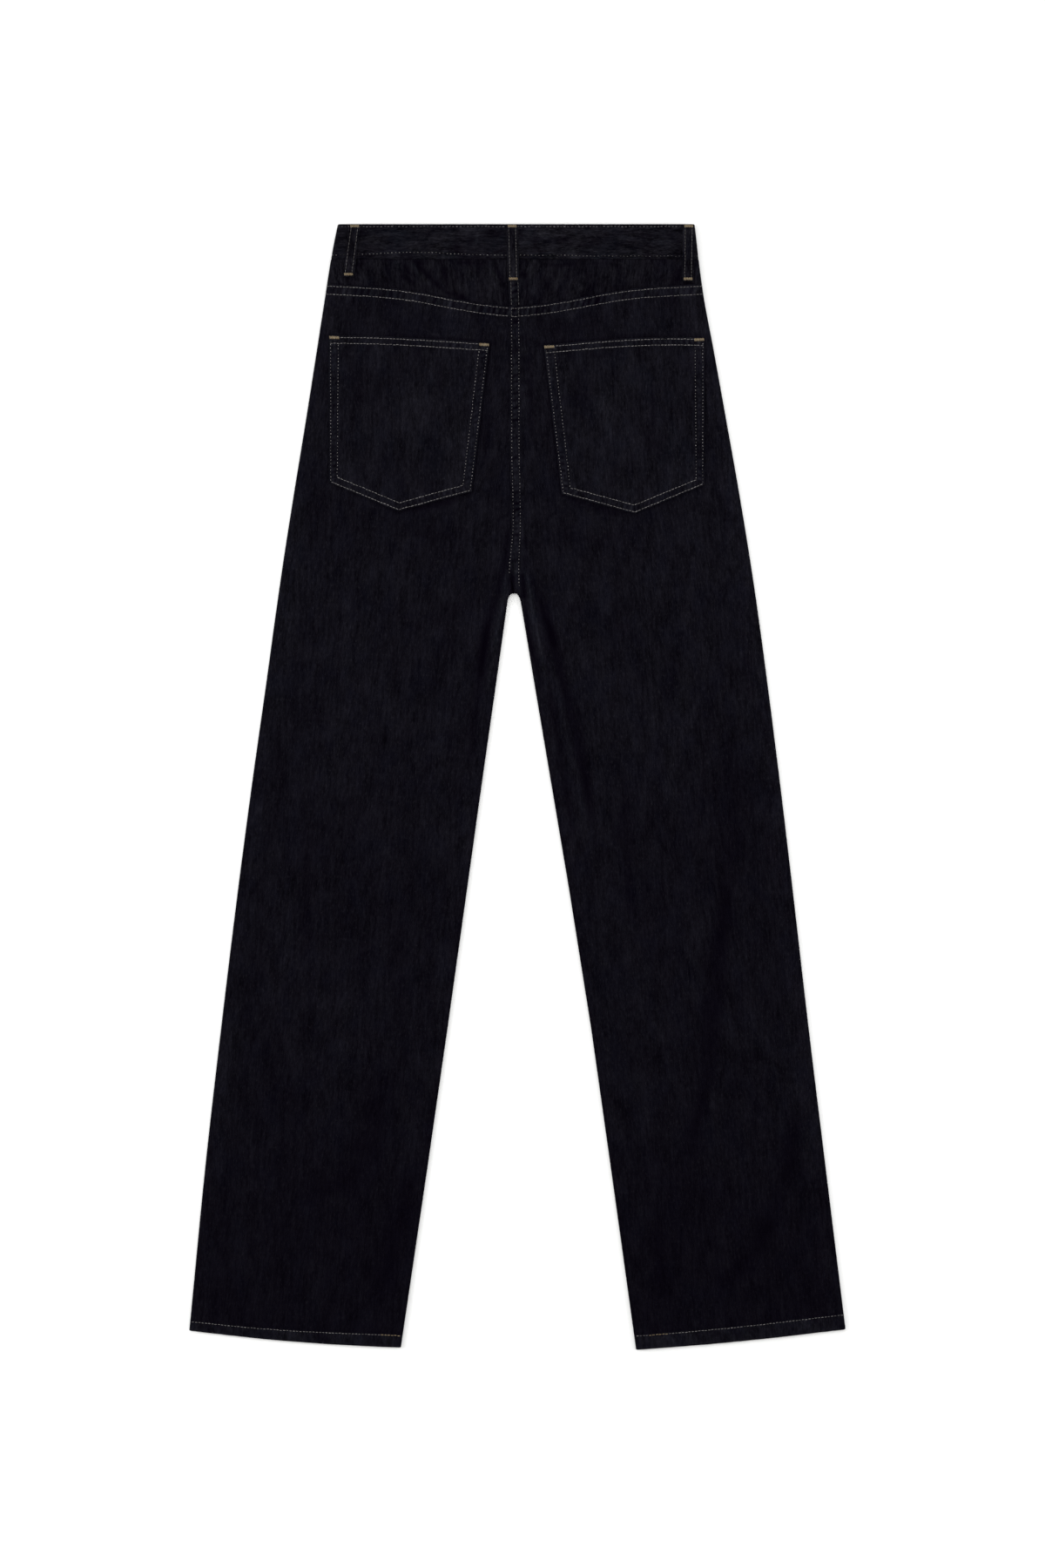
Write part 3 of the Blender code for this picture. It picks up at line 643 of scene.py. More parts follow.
print(f"pocket mouth {2 * POCKET_MOUTH:.0f} mm, tip {POCKET_TIP[1]:.0f} mm below it")

# %% [markdown]
# ## Faces of the back: panels, yokes and pockets
#
# A felled seam is two folded edges locked into each other under twin stitching. It stands a
# millimetre proud for about a centimetre, its folded edge casts a thin shadow, each line of
# stitching pulls a channel into it, and the cloth between the lines puckers like a ladder. The
# faces are functions of a place on the garment, so that a pocket, a stitch or a bar tack can ask
# for the cloth's height wherever it lies.
# The seam's thin shadow, the light on its ladder and the shade in its channels are painted too.

# %% Height and tone anywhere on the back
LOFT = 0.35  # the creased cloth keeps this much more room over the fronts
SEAM_STAND = 0.85  # a felled seam over the cloth beside it
SEAM_DEPTH = 10.6  # and how wide it is
YOKE_STITCHES = (1.8, 9.6)  # below the folded edge
SEAT_STITCHES = (1.8, 8.9)
HEM_STITCH = {"left": (8.5, 11.3), "right": (14.0, 13.0)}  # above the hem's edge, outer and inner
CHANNEL = 0.22  # a line of stitching pulls the cloth in by this


def hem_line(side, across):
    """How far above the hem's edge its stitching runs, at a share of the way from the outer edge."""
    outer, inner = HEM_STITCH[side]
    return outer + (inner - outer) * ease(0.0, 1.0, across)


def channels(distance, lines):
    """Depth of the channels that lines of stitching pull into a seam."""
    return sum(CHANNEL * bell(distance, at, 0.9) for at in lines)


def puckers(along_seam, across, pitch, seed):
    """Ladder of small ridges across a seam, slanting a little and uneven in height."""
    ladder = cloud(along_seam + 0.35 * across, 0.0, pitch, 1.0, seed)
    return ladder * (1 + 0.5 * cloud(along_seam, 0.0, 17.0, 1.0, seed + 1))


def rungs(along_seam, across, pitch, seed):
    """Ladder of light bars a pitch apart, which wander and swell: a wave, and some of the puckers."""
    at = (along_seam + 0.3 * across) / pitch + 0.45 * cloud(along_seam, 0.0, 2.2 * pitch, 1.0, seed)
    wave = np.cos(2 * np.pi * at)
    return 0.6 * wave * (1 + 0.6 * cloud(along_seam, 0.0, 31.0, 1.0, seed + 1)) + 0.5 * puckers(
        along_seam, across, 2.7, seed + 5
    )


def felled(distance, along_seam, lines, seed):
    """Height and tone of a felled seam, at a distance past its folded edge."""
    on_seam = 1 - ease(SEAM_DEPTH - 0.6, SEAM_DEPTH + 2.4, distance)
    between = ease(lines[0] - 1, lines[0] + 1.5, distance)
    between = between * (1 - ease(lines[1] - 1.5, lines[1] + 1, distance))
    ladder = rungs(along_seam, distance, 6.3, seed)
    pulled = channels(distance, lines)
    past = ease(SEAM_DEPTH - 1, SEAM_DEPTH + 1, distance) * (1 - ease(SEAM_DEPTH + 1, 24.0, distance))
    ripple = puckers(along_seam, 0.0, 5.5, seed + 2) * past
    height = SEAM_STAND * on_seam + 0.32 * ladder * between - pulled + 0.16 * ripple
    # Painted light on the raised seam, its ladder and its ripples; painted shade in its channels
    tone = 0.10 * on_seam + (0.16 + 1.25 * ladder) * between - 0.5 * pulled + 0.30 * ripple
    return height, tone


def lie(side, x, down):
    """Height and tone of a back before its seams: the same form as the solid, with its creases."""
    middle = along(HEIGHT, "middle", down)
    lift = along(HEIGHT, "edge", down) - middle
    from_outer = np.abs(x - outer_x(side, down))
    from_inner = np.abs(x - inner_x(side, down, seat_seam_x(down)))
    in_leg = roll_under(down)
    ridge = 1 - ease(*EDGE_RIDGE, from_outer)
    ridge = np.maximum(ridge, in_leg * (1 - ease(*EDGE_RIDGE, from_inner)))
    height, tone = creased(CREASES, x, down)
    soft = folded(x, down)
    hills = 0.30 * cloud(x, down, 38.0, 74.0, 11) + 0.13 * cloud(x, down, 15.0, 30.0, 12)
    hills = hills * (0.2 + 0.8 * ease(BAND_DEPTH, 75.0, down))
    grain = 0.05 * cloud(x, down, 6.0, 11.0, 13)
    height = height + middle + lift * ridge + soft + hills + grain + LOFT * ease(60.0, 140.0, down)
    # The tone follows the folds, hills and grain a little: painted light on rises, shade in dips
    tone = tone + 0.05 * soft + 0.14 * hills + 0.5 * grain
    tone = tone + 0.07 * cloud(x, down, 55.0, 120.0, 14) + 0.07 * cloud(x, down, 7.0, 60.0, 15)
    tone = tone + 0.09 * cloud(x, down, 17.0, 34.0, 16)
    # Painted light in bands along the rolled edges, and painted shade right at the inner edge
    tone = tone + 0.26 * (1 - ease(7.0, 25.0, from_outer)) - 0.05 * bell(from_outer, 30.0, 7.0)
    tone = tone + in_leg * (0.12 * (1 - ease(6.0, 20.0, from_inner)) - 0.34 * bell(from_inner, 0.0, 2.4))
    # Painted shade: the legs get darker towards the hems
    hem_shade = 0.17 * ease(380.0, 640.0, down) + 0.29 * ease(800.0, 1040.0, down)
    return height, (1.0 + tone) * (1 - hem_shade)


def seat_seam(side, x, down):
    """Height and tone of the seat seam: felled on the right back, and a shade beside it on the left."""
    if side == "right":
        return felled(x - seat_seam_x(down), down, SEAT_STITCHES, 30)
    return 0.0, -0.22 * bell(seat_seam_x(down) - x, 0.0, 2.2)


def over_hem(side, x, down):
    """How far above the hem's edge a place is, and how far the line of stitching is there."""
    wide = np.maximum(np.abs(inner_x(side, down, 0.0) - outer_x(side, down)), 1.0)
    across = np.clip(np.abs(x - outer_x(side, down)) / wide, 0, 1)
    return hem_down(side, across) - down, hem_line(side, across)


def back_face(side, x, down):
    """Height and tone of a back panel: its lie, and its seams at the yoke, the seat and the hem."""
    x, down = places(x, down)
    height, tone = lie(side, x, down)
    below_yoke = down - yoke_down(x)
    seam, shade = felled(below_yoke, x, YOKE_STITCHES, 20)
    height, tone = height + seam, tone + shade
    seam, shade = seat_seam(side, x, down)
    seat = 1 - ease(337.0, 352.0, down)
    height, tone = height + seam * seat, tone + shade * seat
    pinch, shade = creased(CROTCH_LINES, x, down)
    height, tone = height + pinch, tone + shade
    tone = tone * (1 - 0.6 * beside_pocket(side, x, down))
    above_hem, line_at = over_hem(side, x, down)
    in_hem = 1 - ease(-0.5, 1.5, above_hem - line_at)
    roping = cloud(x + 0.9 * above_hem, 0.0, 5.2, 1.0, 40) * (1 - bell(above_hem, 0.0, 1.0))
    ripples = cloud(x + 0.3 * above_hem, 0.0, 6.5, 1.0, 41) * (1 - ease(10.0, 30.0, above_hem))
    height = height + (0.26 * roping - 0.1) * in_hem + 0.18 * ripples * (1 - in_hem)
    height = height - CHANNEL * bell(above_hem, line_at, 0.9)
    # Painted light on the hem's roping, its ripples and its folded edge; painted shade above its line
    tone = tone + (0.45 * roping + 0.62) * in_hem + 0.12 * ripples * (1 - in_hem)
    tone = tone + 0.35 * bell(above_hem, 0.0, 1.6) - 0.10 * bell(above_hem, line_at + 2.0, 1.6)
    return height, tone


def yoke_face(side, x, down):
    """Height and tone of a yoke: it passes under the waistband above and the panel below."""
    x, down = places(x, down)
    height, tone = lie(side, x, down)
    drag, shade = creased(DRAG_LINES, x, down)
    height, tone = height + drag, tone + shade
    above_seam = yoke_down(x) - down
    gathers = puckers(x, 0.6 * above_seam, 4.2, 50) * (1 - ease(1.0, 13.0, above_seam))
    below_band = down - BAND_DEPTH
    held = puckers(x, below_band, 5.6, 52) * (1 - ease(1.0, 14.0, below_band))
    height = height + 0.22 * gathers + 0.18 * held
    # Painted light on the gathers by the seam and on the puckers under the waistband
    tone = tone + 0.3 * shade + 0.20 * gathers + 0.14 * held + 0.2 * cloud(x, down, 6.0, 5.5, 55) - 0.10
    # Painted shadow along the seam's edge, under the waistband's edge and below each belt loop
    tone = tone - 0.28 * bell(above_seam, 0.0, 1.8) - 0.30 * bell(below_band, 0.0, 1.5)
    for loop in LOOPS[:3]:
        under = bell(x, loop.bottom_x, 5.0) * bell(down, loop.bottom + 1.2, 1.7)
        tone = tone * (1 - 0.65 * under - 0.3 * bell(x, loop.bottom_x + 7.0, 2.0) * (down < loop.bottom))
    seam, shade = seat_seam(side, x, down)
    return height + seam * ease(BAND_DEPTH, 58.0, down), tone + shade


print(f"seat face stands {float(back_face('left', -100.0, 250.0)[0]):.2f} mm above the surface")

# %% [markdown]
# ## Face of a back pocket
#
# The pocket's sides are turned under and its mouth is hemmed, so it is thickest along its edges
# and sinks a little inside them.

# %% Face of a pocket
# Pocket creases: hollows painted darker, ridges paler, and the flat one a painted shadow
POCKET_CREASES = table(
    Crease,
    (((-76, 126), (-77, 148), (-76, 168)), 3.0, -0.2, -0.32),
    (((-112, 238), (-112, 252), (-113, 266)), 1.8, -0.2, -0.45),
    (((-99, 120), (-91, 134)), 3.0, -0.2, -0.30),
    (((-160, 122), (-160, 150), (-148, 182)), 9.0, -0.2, -0.22),
    (((-128, 220), (-136, 250)), 8.0, -0.2, -0.24),
    (((-101, 140), (-98, 200), (-100, 246)), 9.0, 0.2, 0.24),
    (((-60, 180), (-56, 226), (-64, 266)), 8.0, 0.2, 0.28),
    (((-138, 184), (-137, 232)), 4.0, 0.1, 0.20),
    (((-176, 214), (-176, 250)), 2.4, 0.0, -0.34),
    (((46, 126), (70, 128), (96, 127)), 3.0, -0.2, -0.40),
    (((62, 132), (66, 156), (61, 184)), 8.0, -0.2, -0.24),
    (((131, 154), (132, 178), (133, 206)), 1.9, -0.2, -0.45),
    (((120, 196), (132, 212), (139, 234)), 8.0, -0.2, -0.30),
    (((97, 226), (94, 246), (89, 260)), 4.0, -0.2, -0.32),
    (((112, 220), (110, 250)), 3.0, -0.1, -0.26),
    (((80, 158), (86, 184), (91, 212)), 6.0, 0.2, 0.26),
    (((63, 190), (68, 226), (66, 256)), 5.0, 0.2, 0.24),
    (((105, 144), (95, 180)), 4.0, 0.1, 0.20),
    (((149, 184), (156, 226), (149, 256)), 7.0, 0.2, 0.24),
    (((94, 262), (116, 262)), 5.0, 0.1, 0.36),
    (((45, 132), (51, 166)), 3.0, 0.1, 0.24),
)


def pocket_face(pocket, u, v):
    """Height and tone of a pocket, from its own lie on the panel and its turned edges."""
    u, v = places(u, v)
    x, down = on_garment(pocket, u, v)
    height, tone = lie(pocket.side, x, down)
    drawn, shade = creased(POCKET_CREASES, x, down)
    height, tone = height + drawn, tone + shade
    corners = pocket_outline()
    far, share = from_line(corners, u, v)
    below_mouth = v + mouth_bow(pocket, u)
    seed = 60 if pocket.side == "left" else 70
    turned = 1 - ease(8.6, 12.0, far)
    hem = 1 - ease(8.6, 11.0, below_mouth)
    layers = 0.45 * np.maximum(turned, 1.2 * hem)
    run = share * 460.0
    ladder = rungs(run, far, 6.0, seed) * (1 - ease(1.0, 2.5, np.abs(far - 4.7)))
    gather = puckers(run, far, 6.0, seed + 2) * ease(8, 10, far) * (1 - ease(10, 22, far))
    mouth = rungs(u, below_mouth, 5.6, seed + 4) * (1 - ease(1.0, 2.6, np.abs(below_mouth - 4.7)))
    held = puckers(u, below_mouth, 7.0, seed + 6) * ease(8, 10, below_mouth)
    held = held * (1 - ease(10, 24, below_mouth))
    pulled = channels(far, SIDE_STITCHES) + channels(below_mouth, MOUTH_STITCHES)
    height = height + GAP + POCKET_WALL + layers - pulled
    height = height + 0.13 * ladder + 0.16 * gather + 0.10 * mouth + 0.16 * held
    height = height - 0.45 * bell(far, 0.0, 0.5) - 0.2 * bell(below_mouth, 0.0, 0.5)
    # Painted light on puckers and folded edges; painted shade in channels and below the mouth's hem
    tone = tone + 0.12 + 0.08 * np.maximum(turned, hem) - 0.4 * pulled
    tone = tone + 0.8 * ladder + 0.20 * gather + 0.7 * mouth + 0.22 * held
    tone = tone + 0.10 * bell(far, 0.0, 1.0) - 0.10 * bell(below_mouth, 9.5, 1.5)
    return height, tone


print(f"pocket face {float(pocket_face(POCKETS[0], 0.0, 80.0)[0]):.2f} mm above the surface")

# %% [markdown]
# ## Cloth as closed shells
#
# Each piece starts as its outer face: a grid of points, rows down the garment and columns across
# it. Moving the grid in along its own normals by the wall gives the inner face, and a ring of
# points that bulges between the two rounds the cut or folded edge. Everything is one array
# calculation, and the shell is closed, with faces pointing out. Two more things go with the
# points: a weave map, in metres along the cloth's own threads, and the tone.

# %% Shells from grids
def put_mesh(name, points, quads, material, weave=None, tone=None):
    """Mesh object from arrays of points and four-sided faces, with its weave map and its tone."""
    mesh = bpy.data.meshes.new(name)
    mesh.vertices.add(len(points))
    mesh.vertices.foreach_set("co", (points * MM).astype(np.float32).ravel())
    mesh.loops.add(quads.size)
    mesh.loops.foreach_set("vertex_index", quads.astype(np.int32).ravel())
    mesh.polygons.add(len(quads))
    mesh.polygons.foreach_set("loop_start", np.arange(0, quads.size, 4, dtype=np.int32))
    mesh.update(calc_edges=True)
    mesh.polygons.foreach_set("use_smooth", np.ones(len(quads), bool))
    if weave is not None:
        layer = mesh.uv_layers.new(name="weave")
        layer.uv.foreach_set("vector", (weave * MM)[quads.ravel()].astype(np.float32).ravel())
    if tone is not None:
        attribute = mesh.attributes.new("tone", "FLOAT", "POINT")
        attribute.data.foreach_set("value", tone.astype(np.float32))
    mesh.materials.append(material)
    mesh.validate()
    obj = bpy.data.objects.new(name, mesh)
    bpy.context.scene.collection.objects.link(obj)
    return obj


def unit(vectors):
    """Vectors of length 1 with the same directions."""
    return vectors / np.maximum(np.linalg.norm(vectors, axis=-1, keepdims=True), 1e-9)


def shell(name, outer, wall, middle, material, weave, tone, bulge=0.25):
    """Closed shell of cloth: outer is (rows, columns, 3), and its faces point away from middle.

    The inner face is the outer one moved in by the wall. The rim between them has one ring of
    points, halfway in and moved outwards by a share of the wall.
    """
    rows, columns = outer.shape[:2]
    down_rows = np.gradient(outer, axis=0)
    across = np.gradient(outer, axis=1)
    normals = unit(np.cross(across, down_rows))
    if np.sum(normals * (outer - np.array(middle))) < 0:
        normals = -normals
    wall = np.broadcast_to(np.asarray(wall, float), (rows, columns))
    inner = outer - normals * wall[..., None]
    count = rows * columns
    index = np.arange(count).reshape(rows, columns)
    ring = np.concatenate([index[0, :-1], index[:-1, -1], index[-1, :0:-1], index[:0:-1, 0]])
    outward = np.zeros((rows, columns, 3))
    outward[0] -= unit(down_rows[0])
    outward[-1] += unit(down_rows[-1])
    outward[:, 0] -= unit(across[:, 0])
    outward[:, -1] += unit(across[:, -1])
    swell = unit(outward.reshape(-1, 3)[ring]) * wall.reshape(-1)[ring, None] * bulge
    rim = (outer.reshape(-1, 3)[ring] + inner.reshape(-1, 3)[ring]) / 2 + swell
    points = np.concatenate([outer.reshape(-1, 3), inner.reshape(-1, 3), rim])
    face = np.stack([index[:-1, :-1], index[:-1, 1:], index[1:, 1:], index[1:, :-1]], -1)
    face = face.reshape(-1, 4)
    ahead = np.roll(ring, -1)
    edge = 2 * count + np.arange(len(ring))
    edge_ahead = np.roll(edge, -1)
    first = np.stack([ring, edge, edge_ahead, ahead], -1)
    second = np.stack([edge, ring + count, ahead + count, edge_ahead], -1)
    quads = np.concatenate([face, face[:, ::-1] + count, first, second])
    corner = outer.reshape(-1, 3)[face[0]]
    facing = np.dot(np.cross(corner[1] - corner[0], corner[3] - corner[0]), normals[0, 0])
    if facing < 0:
        quads = quads[:, ::-1]
    source = np.concatenate([np.arange(count), np.arange(count), ring])
    weave = weave.reshape(-1, 2)[source]
    tone = np.broadcast_to(tone, (rows, columns)).reshape(-1)[source]
    return put_mesh(name, points, quads, material, weave, tone)


def place(x, down, height):
    """Points in the frame from places on the garment."""
    x, down, height = np.broadcast_arrays(x, down, height)
    return np.stack([x, WAIST_Y - down, height], axis=-1)


def threads(x, down, lean):
    """Weave map: across and along the warp, which leans by some degrees from the waist-hem line."""
    turn = np.radians(lean)
    x, down = np.broadcast_arrays(x, down)
    return np.stack(
        [x * np.cos(turn) + down * np.sin(turn), down * np.cos(turn) - x * np.sin(turn)], -1
    )


def steps(*stretches):
    """Joins stretches of (start, end, step) into one rising row of places without doubles."""
    rows = []
    for start, end, step in stretches:
        count = max(1, int(round((end - start) / step)))
        rows.append(np.linspace(start, end, count, endpoint=False))
    rows.append([stretches[-1][1]])
    return np.concatenate(rows)


def cut_of(x, down):
    """Flat size and area of a piece's outline, in metres, from its grid laid out in the plane."""
    corners = np.stack([x, down], -1)
    a = corners[1:, 1:] - corners[:-1, :-1]
    b = corners[:-1, 1:] - corners[1:, :-1]
    area = np.abs(a[..., 0] * b[..., 1] - a[..., 1] * b[..., 0]).sum() / 2
    width = np.abs(x[:, -1] - x[:, 0]).max()
    length = (down.max(axis=0) - down.min(axis=0)).max()
    width, length = max(width, area / length), max(length, area / width)
    return (float(width * MM), float(length * MM)), float(area * MM * MM)


def cloth(name, x, down, height, wall, looks, material, lean, tone, bulge=0.25):
    """Shell of one piece, with its flat size and area: its face looks up (1) or down (-1)."""
    grid, weave = place(x, down, height), threads(x, down, lean)
    obj = shell(name, grid, wall, (0.0, 0.0, -1000.0 * looks), material, weave, tone, bulge)
    return obj, *cut_of(x, down)


def cloth_piece(piece, node, with_pieces=()):
    """Attaches a finished piece of denim to the root body, hides its solid and prints its cut."""
    obj, flat, area = piece
    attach(obj, "root")
    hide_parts(node)
    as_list(with_pieces)
    triangles = 2 * len(obj.data.polygons)
    print(f"{obj.name}: {flat[0] * 1000:.0f} x {flat[1] * 1000:.0f} mm, {triangles} triangles")


# %% [markdown]
# ## Raw indigo denim
#
# The cloth is raw, ring-spun, right-hand twill denim of about 13.5 ounces. The warp threads are
# dipped in indigo until they are nearly black, and every fourth one passes under an undyed weft
# thread. Ring-spun yarn is uneven, so long dark and pale slubs run down the warp, the weft shows
# as pale specks along steep diagonals, and where the dye took unevenly the cloth has bluer
# clouds. The face is dull, with a faint bloom of fibres. Real warp threads lie 0.4 mm apart: the
# slubs and the twill are drawn about twice as coarse, so that they still show from a distance.

# %% Denim, from the weave map and the tone
SLUB = (0.0014, 0.0060)  # across and along the warp, in metres
STREAK = (0.0030, 0.026)
MOTTLE = (0.016, 0.034)
DRIFT = (0.034, 0.090)
SPECK = (0.0011, 0.0040)
DYE_CLOUD = (0.022, 0.040)
TWILL_ACROSS = 0.0011
TWILL_ALONG = 0.0021
# Painted shade: the colour that the darkest painted shade falls to, in hollows and shadows
PAINTED_SHADE = "#030106"  # what the deepest hollows fall to


def denim(name, deep, worn, blue, pale, blueness=0.2, strength=1.0):
    """Denim of four dyes: from deep to worn by its value, blue in clouds, pale specks of weft.

    The value is one plus the sum of mottle, slubs, streaks and twill, and 1 lies halfway from
    deep to worn. Then the piece's tone, which holds painted light and shade, mixes this with
    the colour of painted shade.
    """
    material, tree, shader = new_material(name)
    weave = map_of(tree, "weave")

    def grains(size, detail, rough, shift=0.0):
        """Noise whose largest grains have one size."""
        scale = (1 / size[0], 1 / size[1], 1.0)
        at = add(tree, "ShaderNodeMapping", {"Vector": weave, "Scale": scale, "Location": (shift,) * 3})
        return noise(tree, at.outputs[0], 1.0, Detail=detail, Roughness=rough)

    def math(operation, *numbers):
        """The result of a Math node in this material."""
        return maths(tree, operation, *numbers)

    slub = grains(SLUB, 2.0, 0.75)
    streak = grains(STREAK, 2.0, 0.7, 7.0)
    mottle = grains(MOTTLE, 3.0, 0.8, 5.0)
    speck = grains(SPECK, 1.0, 0.5, 3.0)
    drift = grains(DRIFT, 2.0, 0.6, 9.0)
    dye = grains(DYE_CLOUD, 3.0, 0.7, 11.0)
    place_on = add(tree, "ShaderNodeSeparateXYZ", {"Vector": weave})
    turns = 2 * np.pi
    across = math("MULTIPLY", place_on.outputs["X"], turns / TWILL_ACROSS)
    slanted = math("MULTIPLY_ADD", place_on.outputs["Y"], turns / TWILL_ALONG, across)
    twill = math("SINE", math("MULTIPLY_ADD", slub, 5.0, slanted), 0.0)

    value = math("MULTIPLY_ADD", twill, 0.07, 1.0)
    for source, weight in ((slub, 1.8), (streak, 1.9), (mottle, 2.1), (drift, 0.8)):
        value = math("MULTIPLY_ADD", math("SUBTRACT", source, 0.5), weight * strength, value)
    value = math("POWER", math("MAXIMUM", value, 0.1), 1.5)
    tone = add(tree, "ShaderNodeAttribute", attribute_name="tone").outputs["Fac"]
    tone = math("MAXIMUM", tone, 0.05)
    cloth_colour = mix(tree, math("MULTIPLY", value, 0.5), deep, worn)
    cloth_colour = mix(tree, spread(tree, dye, 0.46, 0.66, top=blueness), cloth_colour, blue)
    cloth_colour = mix(tree, spread(tree, speck, 0.58, 0.78, top=0.3), cloth_colour, pale)
    # The tone paints shade below 1, towards the painted shade colour, and paints light above 1
    cloth_colour = mix(tree, tone, PAINTED_SHADE, cloth_colour)
    dull = {"Roughness": 0.9, "Specular IOR Level": 0.01, "Sheen Weight": 0.002, "Sheen Roughness": 0.5}
    relief = math("MULTIPLY_ADD", twill, 0.35, slub)
    dress(tree, shader, cloth_colour, dull, {"Height": relief, "Strength": 0.5, "Distance": 0.00022})
    return material


DEEP = "#030205"
leg_denim = denim("raw_indigo_twill", DEEP, "#111016", "#0b0d1a", "#242328", 0.14)
yoke_denim = denim("raw_indigo_twill_yoke", DEEP, "#111015", "#0b0d1a", "#242328", 0.12, 1.6)
pocket_denim = denim("raw_indigo_twill_pocket", DEEP, "#121117", "#0a0f1c", "#242328", 0.10)
band_denim = denim("raw_indigo_twill_band", DEEP, "#131217", "#0b0f18", "#28272c", 0.2, 1.55)
print("four cuts of one denim")

# %% [markdown]
# ## Back panels and yokes
#
# A back panel runs from the yoke's seam to the hem. In the leg both its long edges roll down in a
# quarter circle to meet the front, because the side seam and the inseam lie right at the fold of
# the flat garment. On the seat its inner edge stays up and meets the other back. Rows of points
# are close together at the yoke, the crotch and the hem, where the seams need them, and wider
# apart down the leg. The turned hem is a thicker wall.

# %% Panels
ROLL_TURNS = np.radians(np.linspace(0.0, 90.0, 7))
FLAT_EDGE = np.linspace(0.0, 1.4, 8)
ROLL_ROOM = 3.3  # the middle columns start this far in
LEAN = {"left": 5.0, "right": -4.5}  # degrees that a leg's warp leans


def seam_height(down):
    """Height at which fronts and backs meet along the side edges."""
    return (front_rise(down) + along(HEIGHT, "edge", down)) / 2


def panel_grid(side, outer, inner, curls, face, up, columns, bend=None):
    """Grid of a panel between two edges, each given as (x, down) for every row.

    An edge whose curl is 1 ends in a quarter circle down to where front and back meet, and one
    whose curl is 0 stays level. face gives height and tone at any place, and bend shifts rows.
    Returns x, down, height and tone.
    """
    width = np.abs(inner[0] - outer[0])[:, None]
    ends = []
    for (x, down), curl in ((outer, curls[0]), (inner, curls[1])):
        meet = seam_height(down) + up * GAP / 2
        rise = np.abs(face(side, x, down)[0] - meet)[:, None]
        radius = rise - EDGE_STRAIGHT
        curl = np.broadcast_to(curl, len(x))[:, None]
        inset = np.concatenate([0 * rise, radius * (1 - np.cos(ROLL_TURNS))], axis=1)
        drop = np.concatenate([rise, radius * (1 - np.sin(ROLL_TURNS))], axis=1)
        ends.append((curl * inset + (1 - curl) * FLAT_EDGE, curl * drop))
    room = np.minimum(ROLL_ROOM, width / 4)
    middle = room + (width - 2 * room) * np.linspace(0.0, 1.0, columns)
    (outer_in, outer_drop), (inner_in, inner_drop) = ends
    inset = np.concatenate([outer_in, middle, width - inner_in[:, ::-1]], axis=1)
    drop = np.concatenate([outer_drop, 0 * middle, inner_drop[:, ::-1]], axis=1)
    x = outer[0][:, None] + toward(side) * inset
    down = outer[1][:, None] + (inner[1] - outer[1])[:, None] * inset / width
    if bend is not None:
        down = bend(x, down, outer, inner)
    height, tone = face(side, x, down)
    return x, down, height - up * drop, tone


def hem_bow(side, x, outer, inner):
    """How far the hem's curve hangs below the straight line between its ends."""
    across = np.clip((x - outer[0][:, None]) / (inner[0] - outer[0])[:, None], 0.0, 1.0)
    straight = hem_down(side, 0.0) + (hem_down(side, 1.0) - hem_down(side, 0.0)) * across
    share = ease(HEM_EASE, hem_down(side, 0.0), outer[1])[:, None]
    return (hem_down(side, across) - straight) * share


def panel_edges(side, downs, seam_x):
    """Outer and inner ends of rows, which swing from level to the hem's slope on the way down."""
    slope = hem_down(side, 1.0) - hem_down(side, 0.0)
    swing = slope * ease(HEM_EASE, hem_down(side, 0.0) - HEM_TURN - HEM_STEP, downs)
    inner_downs = downs + swing
    return (outer_x(side, downs), downs), (inner_x(side, inner_downs, seam_x), inner_downs)


def hem_wall(side, downs):
    """One layer of cloth, and the turned hem along the last rows."""
    above = hem_down(side, 0.0) - downs
    return WALL + (HEM_WALL - WALL) * (1 - ease(HEM_TURN, HEM_TURN + HEM_STEP, above))


def build_back(side):
    """Back leg panel, from the yoke's seam over the seat and down to the hem."""
    start = float(yoke_down(outer_x(side, YOKE[-1].down)))
    end = float(hem_down(side, 0.0))
    downs = steps(
        (start, start + 1.2, 0.4),
        (start + 1.2, start + 15.0, 1.15),
        (start + 15.0, 328.0, 2.8),
        (328.0, 359.5, 1.5),
        (359.5, 360.7, 0.4),
        (360.7, 376.0, 1.4),
        (376.0, end - 36.0, 4.2),
        (end - 36.0, end - 1.4, 1.35),
        (end - 1.4, end, 0.35),
    )

    def bend(x, down, outer, inner):
        follow = 1 - ease(start, YOKE_EASE, outer[1])[:, None]
        below_seam = follow * (yoke_down(x) + GAP / 2 - start)
        return down + below_seam + hem_bow(side, x, outer, inner)

    outer, inner = panel_edges(side, downs, seat_seam_x(downs))
    curls = (np.ones(len(downs)), roll_under(inner[1]))
    x, down, height, tone = panel_grid(side, outer, inner, curls, back_face, 1, 112, bend)
    wall = hem_wall(side, downs)[:, None]
    return cloth(f"back_{side}", x, down, height, wall, 1, leg_denim, LEAN[side], tone)


def build_yoke(side):
    """Back yoke, between the waistband and the back panel."""
    start = BAND_DEPTH + GAP
    end = float(yoke_down(outer_x(side, YOKE[-1].down)))
    downs = steps((start, start + 1.2, 0.4), (start + 1.2, end - 1.2, 0.95), (end - 1.2, end, 0.4))

    def bend(x, down, outer, inner):
        share = (down - start) / (end - start)
        return start + (yoke_down(x) - GAP / 2 - start) * share

    outer = (outer_x(side, downs), downs)
    inner = (inner_x(side, downs, seat_seam_x(downs)), downs)
    x, down, height, tone = panel_grid(side, outer, inner, (1.0, 0.0), yoke_face, 1, 112, bend)
    return cloth(f"yoke_cloth_{side}", x, down, height, WALL, 1, yoke_denim, -LEAN[side], tone)


backs = {side: build_back(side) for side in SIDES}
yokes = {side: build_yoke(side) for side in SIDES}
print("backs and yokes:", [len(built[0].data.polygons) for built in (*backs.values(), *yokes.values())])

